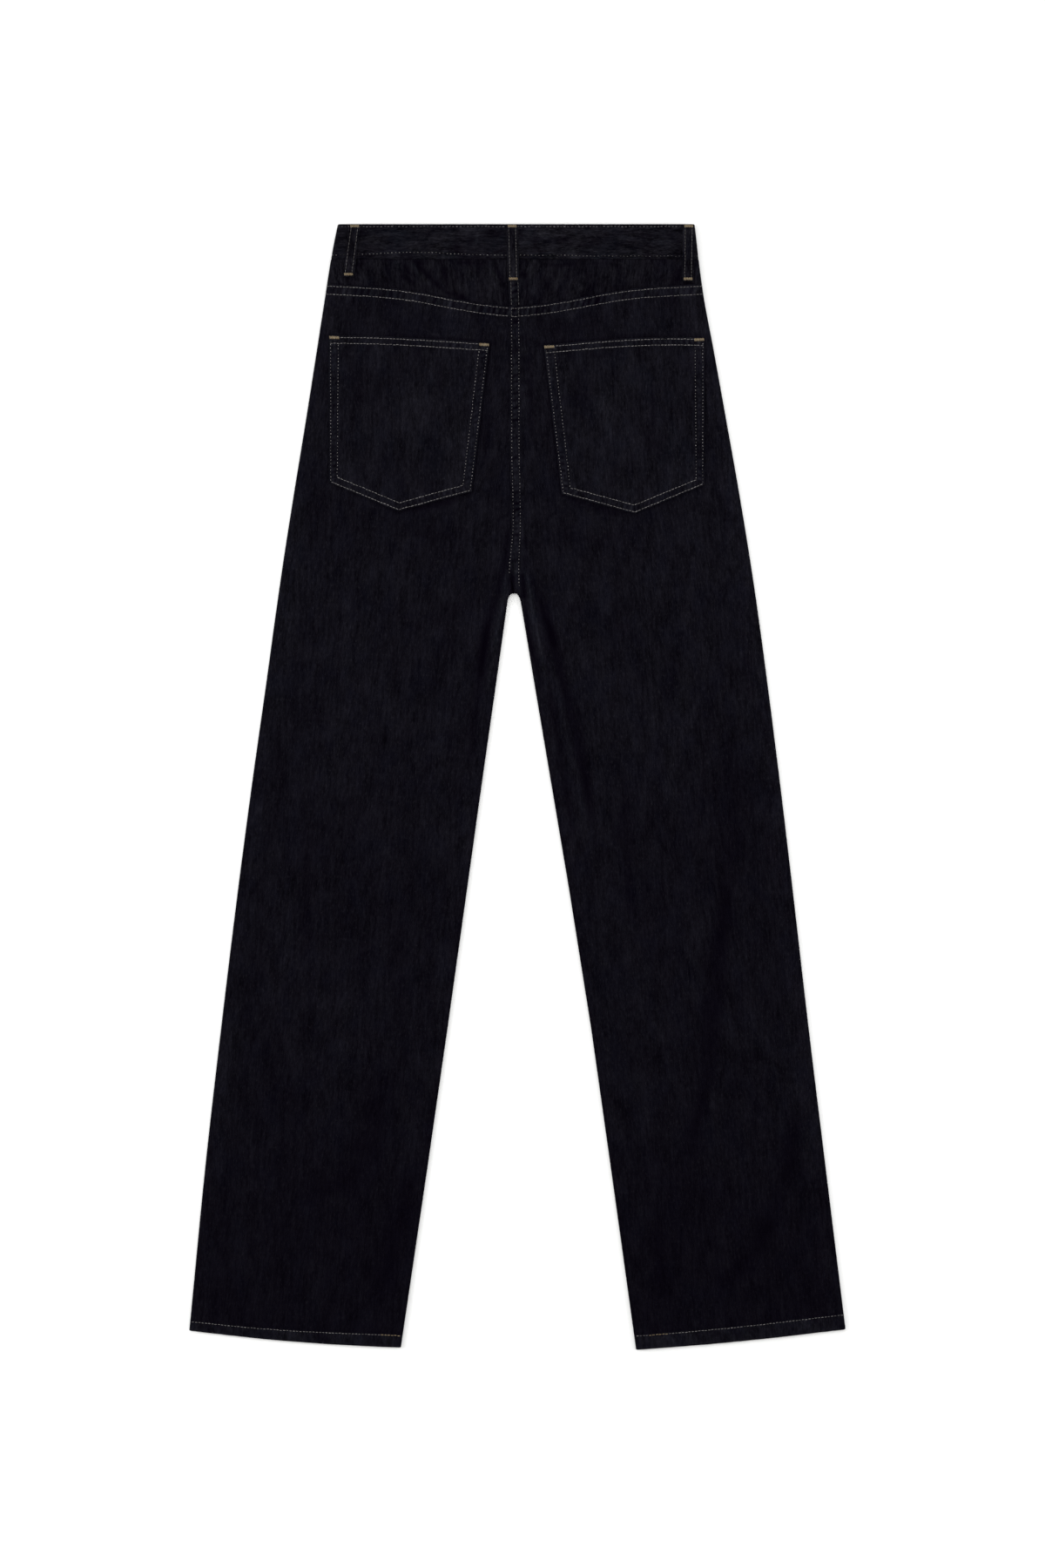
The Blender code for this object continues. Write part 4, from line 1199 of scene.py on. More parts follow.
# %% [markdown]
# ## Patch pockets on the backs
#
# The grid of a pocket follows its own five sides: columns run from the mouth to the foot, and rows
# get closer together at the mouth and the foot, where the turned edges are.

# %% Pockets
def crowded(count, crowding):
    """Places from 0 to 1 that crowd towards both ends: t less a share of its own sine wave."""
    t = np.linspace(0.0, 1.0, count)
    return t - crowding * np.sin(2 * np.pi * t) / (2 * np.pi)


def build_pocket(pocket):
    """Five-sided patch pocket: the panel's own lie inside its outline, moved out."""
    tip = (POCKET_TIP[0] - POCKET_OUTER[0]) / (POCKET_INNER[0] - POCKET_OUTER[0])
    across = crowded(93, 0.45)
    across[np.argmin(np.abs(across - tip))] = tip
    rows = crowded(97, 0.55)[:, None]
    mouth = -POCKET_MOUTH + 2 * POCKET_MOUTH * across
    foot_u = POCKET_OUTER[0] + (POCKET_INNER[0] - POCKET_OUTER[0]) * across
    foot_v = np.interp(across, (0.0, tip, 1.0), (POCKET_OUTER[1], POCKET_TIP[1], POCKET_INNER[1]))
    u = mouth + (foot_u - mouth) * rows
    v = foot_v * rows - mouth_bow(pocket, mouth) * (1 - rows)
    height, tone = pocket_face(pocket, u, v)
    x, down = on_garment(pocket, u, v)
    name, lean = f"patch_pocket_{pocket.side}", 1.5 * toward(pocket.side)
    return cloth(name, x, down, height, POCKET_WALL, 1, pocket_denim, lean, tone, 0.35)


pockets = {pocket.side: build_pocket(pocket) for pocket in POCKETS}
print("pockets:", [len(built[0].data.polygons) for built in pockets.values()])

# %% [markdown]
# ## Waistband
#
# The waistband is one long strip, cut along the warp and folded double, that runs from the front
# opening round the left side, across the back and round the right side. Laid flat it is a narrow
# loop with two tight turns. Its profile is carried as (place, direction out) pairs, so that one
# relief works all the way round.

# %% Waistband
BAND_END_X = 16.0
BAND_STITCHES = (2.4, 30.4)  # down from the waist edge


def band_path(down, spacing=2.0):
    """Outer face of the waistband at each height: x, z and the direction out, all round.

    down is a column of heights. Straight runs along the front and the back are joined by half
    circles at the sides.
    """
    radius = (BAND_BACK - BAND_FRONT) / 2
    middle = (BAND_BACK + BAND_FRONT) / 2
    left = outer_x("left", down) + radius
    right = outer_x("right", down) - radius
    count = int(350.0 / spacing)
    run = np.linspace(0.0, 1.0, count)
    turn = np.radians(np.linspace(-90.0, 90.0, 15))[1:-1]
    under = np.full(count // 2, -np.pi / 2)
    over = np.full(count, np.pi / 2)
    half_run = np.linspace(0.0, 1.0, count // 2)
    start_x, end_x = BAND_END_X - GAP / 2, BAND_END_X + GAP / 2
    x = np.concatenate(
        [
            start_x + (left - start_x) * half_run,
            left - radius * np.cos(turn),
            left + (right - left) * run,
            right + radius * np.cos(turn),
            right + (end_x - right) * half_run,
        ],
        axis=1,
    )
    lean = np.concatenate([under, turn, over, turn[::-1], under])
    way = np.concatenate([0 * under, -np.cos(turn), 0 * over, np.cos(turn), 0 * under])
    z = np.broadcast_to(middle + radius * np.sin(lean), x.shape)
    return x, z, way, np.sin(lean)


def run_of_centre():
    """The run along the waistband's outer face at which its back crosses the centre line."""
    x, z, _, lean = band_path(np.array([[0.0]]))
    gone = gone_along(x[0], z[0])
    back = lean > 0.99
    return float(np.interp(0.0, x[0, back], gone[back]))


BAND_CENTRE = run_of_centre()
# Lighter and darker places on the back of the waistband, as places across and down
# On their small rises they are painted light, and in their small dips painted shade
BAND_CREASES = table(
    Crease,
    (((-156, 14), (-128, 10), (-94, 8)), 1.6, 0.12, 0.55),
    (((-116, 23), (-88, 24)), 3.4, 0.1, 0.42),
    (((-89, 22), (-56, 22)), 3.8, 0.1, 0.42),
    (((-133, 22), (-123, 22)), 3.2, 0.1, 0.36),
    (((18, 9), (32, 9)), 2.8, 0.1, 0.42),
    (((4, 20), (14, 20)), 3.2, 0.1, 0.42),
    (((25, 24), (63, 24)), 3.6, 0.1, 0.42),
    (((36, 9), (64, 9)), 2.8, 0.1, 0.42),
    (((97, 12), (115, 12)), 2.4, 0.1, 0.36),
    (((121, 15), (144, 15)), 2.0, 0.1, 0.36),
    (((-161, 7), (-147, 8)), 3.2, -0.1, -0.46),
    (((-58, 2), (-57, 29)), 2.7, -0.15, -0.46),
    (((-34, 9), (-11, 9)), 4.2, -0.1, -0.42),
    (((3.2, 3), (4.6, 17)), 2.0, -0.1, -0.50),
    (((18, 1), (18, 31)), 2.5, -0.15, -0.46),
    (((24, 15.5), (54, 15.5)), 1.9, -0.1, -0.46),
    (((58, 19.5), (84, 19.5)), 1.9, -0.1, -0.46),
    (((144, 5), (151, 13), (160, 22)), 4.2, -0.1, -0.42),
    (((-128, 4.6), (-58, 3.6)), 0.9, 0.0, -0.45),
    (((-38.5, 8), (-38.5, 21)), 0.9, 0.0, 0.9),
    (((-114.5, 8), (-114.5, 28)), 0.9, 0.0, 0.5),
    (((-112.3, 16), (-112.3, 29)), 1.2, 0.0, -0.5),
    (((-44, 10), (-46, 26)), 3.0, -0.1, -0.36),
)


def band_line(at, run):
    """Height of a line of stitching on the waistband: the low one bows up a little at the left."""
    x = run - BAND_CENTRE
    bow = 2.9 * bell(x, -98.0, 46.0) - 0.8 * ease(50.0, 62.0, x)
    return at - bow * (at > BAND_DEPTH / 2)


def band_relief(run, down):
    """Relief and tone of the waistband's outer face, at a run along it and a height on it."""
    below_top = down
    above_low = BAND_DEPTH - down
    drawn, shade = creased(BAND_CREASES, *np.broadcast_arrays(run - BAND_CENTRE, down))
    waves = 0.12 * cloud(run, down, 26.0, 13.0, 80) + 0.07 * cloud(run, down, 9.0, 7.0, 81)
    gathers = puckers(run, above_low, 4.6, 82) * (1 - ease(2.0, 13.0, above_low))
    top = puckers(run, below_top, 5.2, 84) * (1 - ease(1.0, 9.0, below_top))
    pulled = sum(CHANNEL * bell(down, band_line(at, run), 0.9) for at in BAND_STITCHES)
    edges = 0.5 * bell(below_top, 0.0, 0.7) + 0.4 * bell(above_low, 0.0, 0.7)
    relief = waves + drawn + 0.12 * gathers + 0.10 * top - pulled - edges
    # Painted light on waves, gathers and the folded top; painted shade in channels and along the lower
    # edge
    tone = 1.03 + 0.10 * ease(-10.0, 40.0, run - BAND_CENTRE) + 0.9 * shade + 0.7 * waves
    tone = tone + 0.45 * gathers + 0.40 * top - 0.4 * pulled
    tone = tone + 0.16 * cloud(run, down, 60.0, 9.0, 86) + 0.24 * cloud(run, down, 13.0, 3.6, 87)
    tone = tone + 0.2 * bell(below_top, 0.0, 1.0)
    return relief, tone - 0.10 * bell(above_low, 0.0, 1.2)


def build_band():
    """The waistband's shell, with its rows from the waist edge down."""
    downs = steps((0.0, 1.2, 0.4), (1.2, BAND_DEPTH - 1.2, 1.3), (BAND_DEPTH - 1.2, BAND_DEPTH, 0.4))
    down = downs[:, None]
    x, z, way, lean = band_path(down)
    run = gone_along(x[0], z[0])
    relief, tone = band_relief(run, down)
    grid = np.stack(np.broadcast_arrays(x + way * relief, WAIST_Y - down, z + lean * relief), -1)
    weave = np.stack(np.broadcast_arrays(down, run), -1)
    inside = (0.0, float(WAIST_Y - BAND_DEPTH / 2), (BAND_BACK + BAND_FRONT) / 2)
    obj = shell("waistband_cloth", grid, BAND_WALL, inside, band_denim, weave, tone, 0.12)
    return obj, *cut_of(np.broadcast_to(run, x.shape), np.broadcast_to(down, x.shape))


band = build_band()
print(f"waistband {band[1][0] * 1000:.0f} mm round, {len(band[0].data.polygons)} faces")

# %% [markdown]
# ## Fronts
#
# The fronts lie face down, so nobody sees them in this pose, but they are finished like the backs:
# a hand pocket scooped out of each hip with a facing behind it, a fly whose stitched shape stands
# a little proud on the wearer's left, and a few soft creases. They stay flat within half a
# millimetre, because the whole garment rests on them.

# %% Fronts and pocket facings
SCOOP_WIDTH = 92.0
SCOOP_DEPTH = 96.0
FACING_REST = 0.8
FRONT_LIFT = 0.5  # the cloth's fuzz and stitches touch the surface first
FLY_WIDTH = 37.0
FLY_BOTTOM = 190.0
FLY_CURVE = 52.0  # height of the curve at the foot of the fly
SCOOP_STITCHES = (1.8, 8.1)
# Crease tones of the fronts: the face looks down, so a hollow is a rise, painted darker
FRONT_CREASES = table(
    Crease,
    (((-60, 380), (-96, 400), (-140, 404)), 8.0, 0.35, -0.08),
    (((60, 378), (98, 396), (146, 402)), 8.0, 0.35, -0.08),
    (((-190, 640), (-196, 720), (-210, 800)), 9.0, 0.4, -0.12),
    (((184, 620), (198, 700), (204, 790)), 9.0, 0.4, -0.12),
    (((-160, 560), (-150, 640), (-160, 720)), 9.0, 0.3, -0.08),
    (((120, 880), (160, 930), (214, 960)), 9.0, 0.3, -0.10),
    (((-24, 330), (-60, 300), (-110, 286)), 7.0, 0.35, -0.10),
    (((18, 332), (58, 302), (108, 290)), 7.0, 0.35, -0.10),
)


def scoop_x(side, down):
    """Edge of the hand pocket: a quarter ellipse from the side edge up to the waistband."""
    share = np.clip((down - BAND_DEPTH - GAP) / SCOOP_DEPTH, 0.0, 1.0)
    return outer_x(side, down) + toward(side) * SCOOP_WIDTH * np.sqrt(1 - share**2)


def fly_edge(down):
    """Outer line of the fly's stitching: straight, then a quarter ellipse into the centre seam."""
    turn = np.clip((down - FLY_BOTTOM + FLY_CURVE) / FLY_CURVE, 0.0, 1.0)
    return FRONT_SEAM_X - FLY_WIDTH * np.sqrt(np.clip(1 - turn**2, 0.0, 1.0))


def front_face(side, x, down):
    """Height and tone of a front's outer face, which looks down: a hollow is higher up."""
    x, down = places(x, down)
    height, tone = creased(FRONT_CREASES, x, down)
    hills = cloud(x, down, 42.0, 80.0, 90) + 0.5 * cloud(x, down, 16.0, 33.0, 91)
    height = height + 0.12 * (hills + 1.2) * ease(BAND_DEPTH, 90.0, down)
    from_outer = np.abs(x - outer_x(side, down))
    from_scoop = (x - scoop_x(side, down)) * toward(side)
    beside = down < BAND_DEPTH + SCOOP_DEPTH
    pulled = np.where(beside, channels(from_scoop, SCOOP_STITCHES), 0.0)
    if side == "left":
        on_fly = ease(-1.0, 1.0, x - fly_edge(down)) * (1 - ease(FLY_BOTTOM - 1, FLY_BOTTOM + 1, down))
        height = height - 0.3 * on_fly
        tone = tone + 0.08 * on_fly
    above_hem, line_at = over_hem(side, x, down)
    in_hem = 1 - ease(-0.5, 1.5, above_hem - line_at)
    roping = cloud(x + 0.9 * above_hem, 0.0, 5.2, 1.0, 92)
    height = height + 0.12 * roping * in_hem + pulled
    # Painted shade in the stitch channels and towards the hems, and painted light along the outer edge
    tone = 0.98 + tone + 0.18 * roping * in_hem - 0.4 * pulled + 0.1 * hills * 0.3
    tone = tone + 0.2 * (1 - ease(6.0, 22.0, from_outer)) - 0.25 * ease(330.0, 1060.0, down)
    return front_rise(down) + FRONT_LIFT + height, tone


def facing_face(side, x, down):
    """Height and tone of the facing behind a hand pocket: the front's own lie, set back."""
    x, down = places(x, down)
    hills = cloud(x, down, 24.0, 30.0, 94)
    return front_rise(down) + FRONT_LIFT + FACING_REST + 0.1 * hills, 1.0 + 0.05 * hills


def build_front(side):
    """Front leg panel: rows turn with the scoop, then run level down to the hem."""
    top = BAND_DEPTH + GAP
    turns = np.radians(np.linspace(90.0, 3.0, 46))
    scoop_downs = top + SCOOP_DEPTH * np.cos(turns)
    end = float(hem_down(side, 0.0))
    downs = steps(
        (top + SCOOP_DEPTH + 0.6, 340.0, 3.6),
        (340.0, 359.5, 2.4),
        (359.5, 360.7, 0.4),
        (360.7, 376.0, 1.8),
        (376.0, end - 16.0, 5.0),
        (end - 16.0, end - 1.4, 1.6),
        (end - 1.4, end, 0.35),
    )
    all_downs = np.concatenate([scoop_downs, downs])
    outer, inner = panel_edges(side, all_downs, np.full(len(all_downs), FRONT_SEAM_X))
    on_scoop = np.arange(len(all_downs)) < len(scoop_downs)
    outer_edge = np.where(on_scoop, scoop_x(side, all_downs), outer[0])
    outer = (outer_edge, outer[1])

    def bend(x, down, outer, inner):
        """Rows that follow the hem's bow."""
        return down + hem_bow(side, x, outer, inner)

    curls = (np.where(on_scoop, 0.0, 1.0), roll_under(inner[1]))
    x, down, height, tone = panel_grid(side, outer, inner, curls, front_face, -1, 72, bend)
    wall = hem_wall(side, all_downs)[:, None]
    return cloth(f"front_{side}", x, down, height, wall, -1, leg_denim, LEAN[side], tone)


def build_facing(side):
    """Pocket facing: it fills the corner that the scoop cuts from the front."""
    top = BAND_DEPTH + GAP
    downs = top + SCOOP_DEPTH * np.cos(np.radians(np.linspace(90.0, 3.0, 40)))
    outer = (outer_x(side, downs), downs)
    inner = (scoop_x(side, downs) - toward(side) * GAP, downs)
    x, down, height, tone = panel_grid(side, outer, inner, (1.0, 0.0), facing_face, -1, 26)
    return cloth(f"facing_{side}", x, down, height, WALL, -1, leg_denim, LEAN[side], tone)


fronts = {side: build_front(side) for side in SIDES}
facings = {side: build_facing(side) for side in SIDES}
print("fronts and facings:", [len(b[0].data.polygons) for b in (*fronts.values(), *facings.values())])

# %% [markdown]
# ## Belt loops
#
# A belt loop is a strip folded in three, topstitched near both edges and bar-tacked at both ends.
# It arches a little off the waistband, which leaves room for a belt, and is pulled down hard under
# each tack.

# %% Belt loops
LOOP_WIDTH = 11.2
LOOP_WALL = 1.4
LOOP_TOP = 0.8
LOOP_ARCH = 0.5
LOOP_STITCH = 3.3  # each side of its middle
LOOP_TACKS = (1.3, 2.6)  # from its top and its bottom


def loop_middle(loop, down):
    """Where a loop's own middle line is, at a height."""
    return loop.top_x + (loop.bottom_x - loop.top_x) * (down - LOOP_TOP) / (loop.bottom - LOOP_TOP)


def loop_face(loop, across, down):
    """Place and tone on a loop's outer face: x, height and tone, across it and down it."""
    across, down = places(across, down)
    share = (down - LOOP_TOP) / (loop.bottom - LOOP_TOP)
    x = loop_middle(loop, down) + across
    arch = GAP + LOOP_ARCH * np.sin(np.pi * np.clip(share, 0, 1))
    off_band = ease(BAND_DEPTH + 1.0, BAND_DEPTH + 13.0, down)
    side = "left" if loop.bottom_x < 0 and loop.name != "belt_loop_back_centre" else "right"
    if loop.face == "back":
        under = yoke_face(side, x, np.maximum(down, BAND_DEPTH))[0]
        base = np.maximum(BAND_BACK * (1 - off_band) + under * off_band, under - 0.2)
    else:
        under = front_face(side, x, np.maximum(down, BAND_DEPTH))[0]
        base = np.minimum(BAND_FRONT * (1 - off_band) + under * off_band, under + 0.2)
    proud = arch + LOOP_WALL - 0.55 * np.abs(across / (LOOP_WIDTH / 2)) ** 5
    folds = puckers(down, across, 3.0, 100 + len(loop.name)) * 0.09
    pulled = CHANNEL * (bell(across, LOOP_STITCH, 0.8) + bell(across, -LOOP_STITCH, 0.8))
    tack = bell(down, LOOP_TOP + LOOP_TACKS[0], 1.6) + bell(down, loop.bottom - LOOP_TACKS[1], 1.6)
    ends = bell(down, LOOP_TOP, 0.5) + bell(down, loop.bottom, 0.5)
    proud = proud + folds - pulled - 0.35 * tack - 0.3 * ends
    # Painted light on the loop's puckers and side edges; painted shade in its channels and at its tacks
    tone = 1.06 + folds * 1.6 - 0.4 * pulled + 0.18 * np.abs(across / (LOOP_WIDTH / 2)) ** 6
    return x, base + (proud if loop.face == "back" else -proud), tone - 0.15 * tack


def build_loop(loop):
    """A belt loop's shell."""
    downs = steps((LOOP_TOP, LOOP_TOP + 1, 0.33), (LOOP_TOP + 1, loop.bottom - 1, 0.95),
                  (loop.bottom - 1, loop.bottom, 0.33))[:, None]
    across = (crowded(21, 0.5) - 0.5) * LOOP_WIDTH
    x, height, tone = loop_face(loop, across, downs)
    down = np.broadcast_to(downs, x.shape)
    looks = 1 if loop.face == "back" else -1
    return cloth(f"{loop.name}_cloth", x, down, height, LOOP_WALL, looks, band_denim, 0.0, tone, 0.3)


loops = {loop.name: build_loop(loop) for loop in LOOPS}
print(f"{len(loops)} belt loops")

# %% [markdown]
# ## Inside the fly
#
# Behind the fly's overlap lie the zip and its shield. The fly is closed, so they stay hidden: the
# shield is a strip of denim, and the zip is a woven tape with two rows of small cast teeth. Each
# tooth is the same little block, so the row is one array of blocks in one mesh.

# %% Fly shield and zip
FLY_TOP = 4.0
ZIP_WIDTH = 26.0
ZIP_WALL = 0.7
SHIELD_WIDTH = 40.0
SHIELD_WALL = 0.9
SHIELD_LONGER = 8.0
TOOTH = (2.6, 0.9, 1.0)  # across, down and high
TOOTH_PITCH = 1.9


def build_strip(name, width, low, wall, bottom, material, columns):
    """A flat strip inside the fly, at a height above the fronts' outer face."""
    downs = steps((BAND_DEPTH + FLY_TOP, bottom, 2.0))[:, None]
    x = FRONT_SEAM_X + width * np.linspace(-0.5, 0.5, columns)
    height = front_rise(downs) + low + wall + 0.06 * cloud(x, downs, 14.0, 20.0, 110)
    x, down = np.broadcast_arrays(x, downs)
    tone = 0.95 + 0.08 * cloud(x, down, 9.0, 30.0, 111)
    return cloth(name, x, down, height, wall, 1, material, 0.0, tone)


def tape_weave():
    """Zip tape: polyester twill, woven tight and smooth, in fine ribs across the tape."""
    material, tree, shader = new_material("woven_polyester_tape")
    wave = {"Vector": map_of(tree, "weave"), "Scale": 300.0, "Distortion": 1.5, "Detail": 2.0}
    ribs = add(tree, "ShaderNodeTexWave", wave, bands_direction="Y").outputs["Fac"]
    dull = {"Roughness": 0.6, "Specular IOR Level": 0.3}
    dress(tree, shader, mix(tree, ribs, "#101117", "#1d1e26"), dull, {"Height": ribs, "Distance": 0.0002})
    return material


def old_brass(name, bright, dull):
    """Antiqued brass: plated, tumbled and lacquered, so hollows stay brown and rims shine."""
    material, tree, shader = new_material(name)
    stain = noise(tree, map_of(tree, "object"), 900.0, Detail=4.0)
    hollow = add(tree, "ShaderNodeNewGeometry").outputs["Pointiness"]
    share = maths(tree, "MULTIPLY", stain, spread(tree, hollow, 0.46, 0.56), use_clamp=True)
    dress(tree, shader, mix(tree, share, dull, bright), {"Metallic": 1.0})
    tree.links.new(spread(tree, stain, 0.0, 1.0, 0.5, 0.3), shader.inputs["Roughness"])
    return material


brass = old_brass("antiqued_cast_brass", "#a9884f", "#5a4526")
low = WALL + GAP
zip_tape = build_strip("zip_tape_cloth", ZIP_WIDTH, low, ZIP_WALL, FLY_BOTTOM, tape_weave(), 11)
low += ZIP_WALL + GAP
bottom = FLY_BOTTOM + SHIELD_LONGER
shield = build_strip("fly_shield_cloth", SHIELD_WIDTH, low, SHIELD_WALL, bottom, leg_denim, 22)


def build_teeth():
    """Two rows of teeth that mesh: every block is the same eight corners, moved along."""
    corners = np.array([(x, y, z) for x in (-1, 1) for y in (-1, 1) for z in (-1, 1)], float)
    corners = corners * np.array(TOOTH) / 2
    downs = np.arange(BAND_DEPTH + FLY_TOP + 6.0, FLY_BOTTOM - 8.0, TOOTH_PITCH / 2)
    aside = np.where(np.arange(len(downs)) % 2 == 0, -0.8, 0.8)
    height = front_rise(downs) + WALL + GAP + ZIP_WALL - TOOTH[2] * 0.3
    centres = place(FRONT_SEAM_X + aside, downs, height)
    points = (centres[:, None] + corners).reshape(-1, 3)
    cube = np.array(
        [(0, 1, 3, 2), (4, 6, 7, 5), (0, 4, 5, 1), (2, 3, 7, 6), (0, 2, 6, 4), (1, 5, 7, 3)]
    )
    quads = (cube + 8 * np.arange(len(downs))[:, None, None]).reshape(-1, 4)
    return put_mesh("zip_teeth", points, quads, brass)


teeth = build_teeth()
print(f"zip teeth: {len(teeth.data.polygons) // 6}")

# %% [markdown]
# ## Waist button
#
# The shank button is cast brass with a plain rim, a shallow dish and a small dome in its middle.
# It is turned: one profile of radius and height, carried round a circle.

# %% Button
BUTTON_PROFILE = (
    (0.0, 0.62), (1.2, 0.56), (2.0, 0.40), (2.5, 0.46), (5.4, 0.44), (6.0, 0.34), (6.3, 0.12),
    (6.8, 0.0), (7.6, 0.02), (8.1, 0.22), (8.45, 0.6), (8.5, 1.0), (8.3, 1.45), (7.8, 1.75),
    (7.0, 1.85), (3.0, 1.85), (0.0, 1.85),
)


def build_button():
    """Turned cap: profile points times the cosine and sine of 72 turns, poles closed to a point."""
    profile = np.array(BUTTON_PROFILE)
    turns = np.linspace(0.0, 2 * np.pi, 72, endpoint=False)
    radius, height = profile[:, :1], profile[:, 1:]
    centre_y = WAIST_Y - BAND_DEPTH / 2
    grid = np.stack(
        np.broadcast_arrays(
            FRONT_SEAM_X + radius * np.cos(turns), centre_y + radius * np.sin(turns), height
        ),
        -1,
    )
    index = np.arange(grid.shape[0] * 72).reshape(-1, 72)
    after = np.roll(index, -1, axis=1)
    quads = np.stack([index[:-1], index[1:], after[1:], after[:-1]], -1).reshape(-1, 4)
    button = put_mesh("waist_button_cap", grid.reshape(-1, 3), quads, brass)
    weld = button.modifiers.new("poles", "WELD")
    weld.merge_threshold = 0.000001
    return button


button = build_button()
print(f"button {2 * BUTTON_PROFILE[11][0]:.0f} mm across")

# %% [markdown]
# ## Topstitching
#
# Jeans are sewn with a thick core-spun thread at about eight stitches to the inch, so each stitch
# can be seen: a fat little capsule that lies on the cloth and dives in at both ends. One stitch
# is five rings of six points. A whole seam is an array of stitches: their starts and ends come
# from marching along the seam's path, and the cloth's own face gives their height.

# %% Thread, and stitches as arrays
STITCH = 3.2  # from one needle hole to the next
RING_AT = np.array([-0.5, -0.36, 0.0, 0.36, 0.5])
RING_SIZE = np.array([0.35, 0.9, 1.0, 0.9, 0.35])
RING_LIFT = np.array([-0.7, 0.15, 0.45, 0.15, -0.7])
RING_TURNS = np.radians(np.arange(6) * 60.0)
wobble = np.random.default_rng(7)


def thread(name, pale, deep):
    """Core-spun polyester thread: two plies twist round each other, so it shades in slants."""
    material, tree, shader = new_material(name)
    turned = {"Vector": map_of(tree, "weave"), "Rotation": (0.0, 0.0, 0.7)}
    at = add(tree, "ShaderNodeMapping", turned).outputs[0]
    wave = {"Vector": at, "Scale": 420.0, "Distortion": 0.6}
    plies = add(tree, "ShaderNodeTexWave", wave).outputs["Fac"]
    share = maths(tree, "MULTIPLY", plies, noise(tree, map_of(tree, "object"), 160.0))
    colour = mix(tree, spread(tree, share, 0.1, 0.5), deep, pale)
    tone = add(tree, "ShaderNodeAttribute", attribute_name="tone").outputs["Fac"]
    toned = add(tree, "ShaderNodeVectorMath", {0: colour, "Scale": tone}, operation="SCALE").outputs[0]
    dull = {"Roughness": 0.6, "Specular IOR Level": 0.15}
    dress(tree, shader, toned, dull, {"Height": plies, "Distance": 0.0001})
    return material


topstitch_thread = thread("core_spun_topstitch_thread", "#6f6d6c", "#4f4c4d")
tack_thread = thread("core_spun_gold_thread", "#857a66", "#5d4c33")


def stitch_mesh(name, starts, ends, ups, radius, tone, material):
    """Joined mesh of stitches: five rings of six points each, and two quads close each end.

    A ring's centre is a share of the way from start to end, lifted along up, and its points turn
    round the stitch's own line. Every stitch has its own radius and tone.
    """
    run = ends - starts
    length = np.linalg.norm(run, axis=1, keepdims=True)
    ahead = run / length
    aside = unit(np.cross(ups, ahead))
    over = np.cross(ahead, aside)
    middle = (starts + ends) / 2
    radius = radius[:, None, None]
    centres = middle[:, None] + run[:, None] * RING_AT[:, None]
    centres = centres + over[:, None] * RING_LIFT[:, None] * radius
    around = aside[:, None] * np.cos(RING_TURNS)[:, None] + over[:, None] * np.sin(RING_TURNS)[:, None]
    points = centres[:, :, None] + around[:, None] * RING_SIZE[:, None, None] * radius[..., None]
    ring, spot = np.meshgrid(np.arange(4), np.arange(6), indexing="ij")
    here, after = ring * 6 + spot, ring * 6 + (spot + 1) % 6
    sides = np.stack([here, after, after + 6, here + 6], -1).reshape(-1, 4)
    caps = np.array([(0, 3, 2, 1), (0, 5, 4, 3), (24, 25, 26, 27), (24, 27, 28, 29)])
    one = np.concatenate([sides, caps])
    quads = (one + 30 * np.arange(len(starts))[:, None, None]).reshape(-1, 4)
    along_it = RING_AT[:, None] * length[..., None] + np.zeros(6)
    round_it = np.arange(6) * radius + 0 * along_it
    weave = np.stack([along_it, round_it], -1).reshape(-1, 2)
    obj = put_mesh(name, points.reshape(-1, 3), quads, material, weave, np.repeat(tone, 30))
    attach(obj, "root")
    return obj


Style = namedtuple("Style", "share radius tone vary")
BOLD = Style(0.86, 0.33, 1.0, 0.22)
DOTTED = Style(0.38, 0.34, 1.02, 0.42)
PLAIN = Style(0.78, 0.31, 0.95, 0.25)
FINE = Style(0.42, 0.30, 0.85, 0.5)
EDGE = Style(0.62, 0.27, 0.8, 0.4)
SMOOTH = Style(0.90, 0.24, 0.65, 0.20)
TACK = Style(1.0, 0.36, 1.0, 0.10)


def line(x, down, face, up, style=BOLD, wander=0.12, pitch=STITCH):
    """Run of stitches along a path of places on a face: holes one pitch apart, which wander a bit."""
    gone = gone_along(x, down)
    count = max(1, int(round(gone[-1] / pitch)))
    pitch = gone[-1] / count
    first = (np.arange(count) + (1 - style.share) / 2) * pitch
    drift = wobble.normal(0.0, wander, (count, 2))
    ends = []
    for at in (first, first + style.share * pitch):
        x_at, down_at = np.interp(at, gone, x) + drift[:, 0], np.interp(at, gone, down) + drift[:, 1]
        ends.append(face(x_at, down_at))
    return run_of(ends, up, style)


def run_of(ends, up, style):
    """A run for sew: starts, ends, ups, radius and tone of some stitches."""
    count = len(ends[0])
    size = style.radius * (1 + wobble.normal(0.0, 0.05, count))
    tone = style.tone * np.maximum(1 + wobble.normal(0.0, style.vary, count), 0.15)
    return (*ends, np.broadcast_to(up, ends[0].shape), size, tone)


def sew(name, runs, material=topstitch_thread):
    """One object for all the stitches of a seam."""
    parts = [np.concatenate([run[i] for run in runs]) for i in range(5)]
    obj = stitch_mesh(name, *parts, material)
    print(f"{name}: {len(parts[0])} stitches")
    return obj


def sew_gold(name, runs):
    """The same in the thread of the bar tacks."""
    return sew(name, runs, tack_thread)


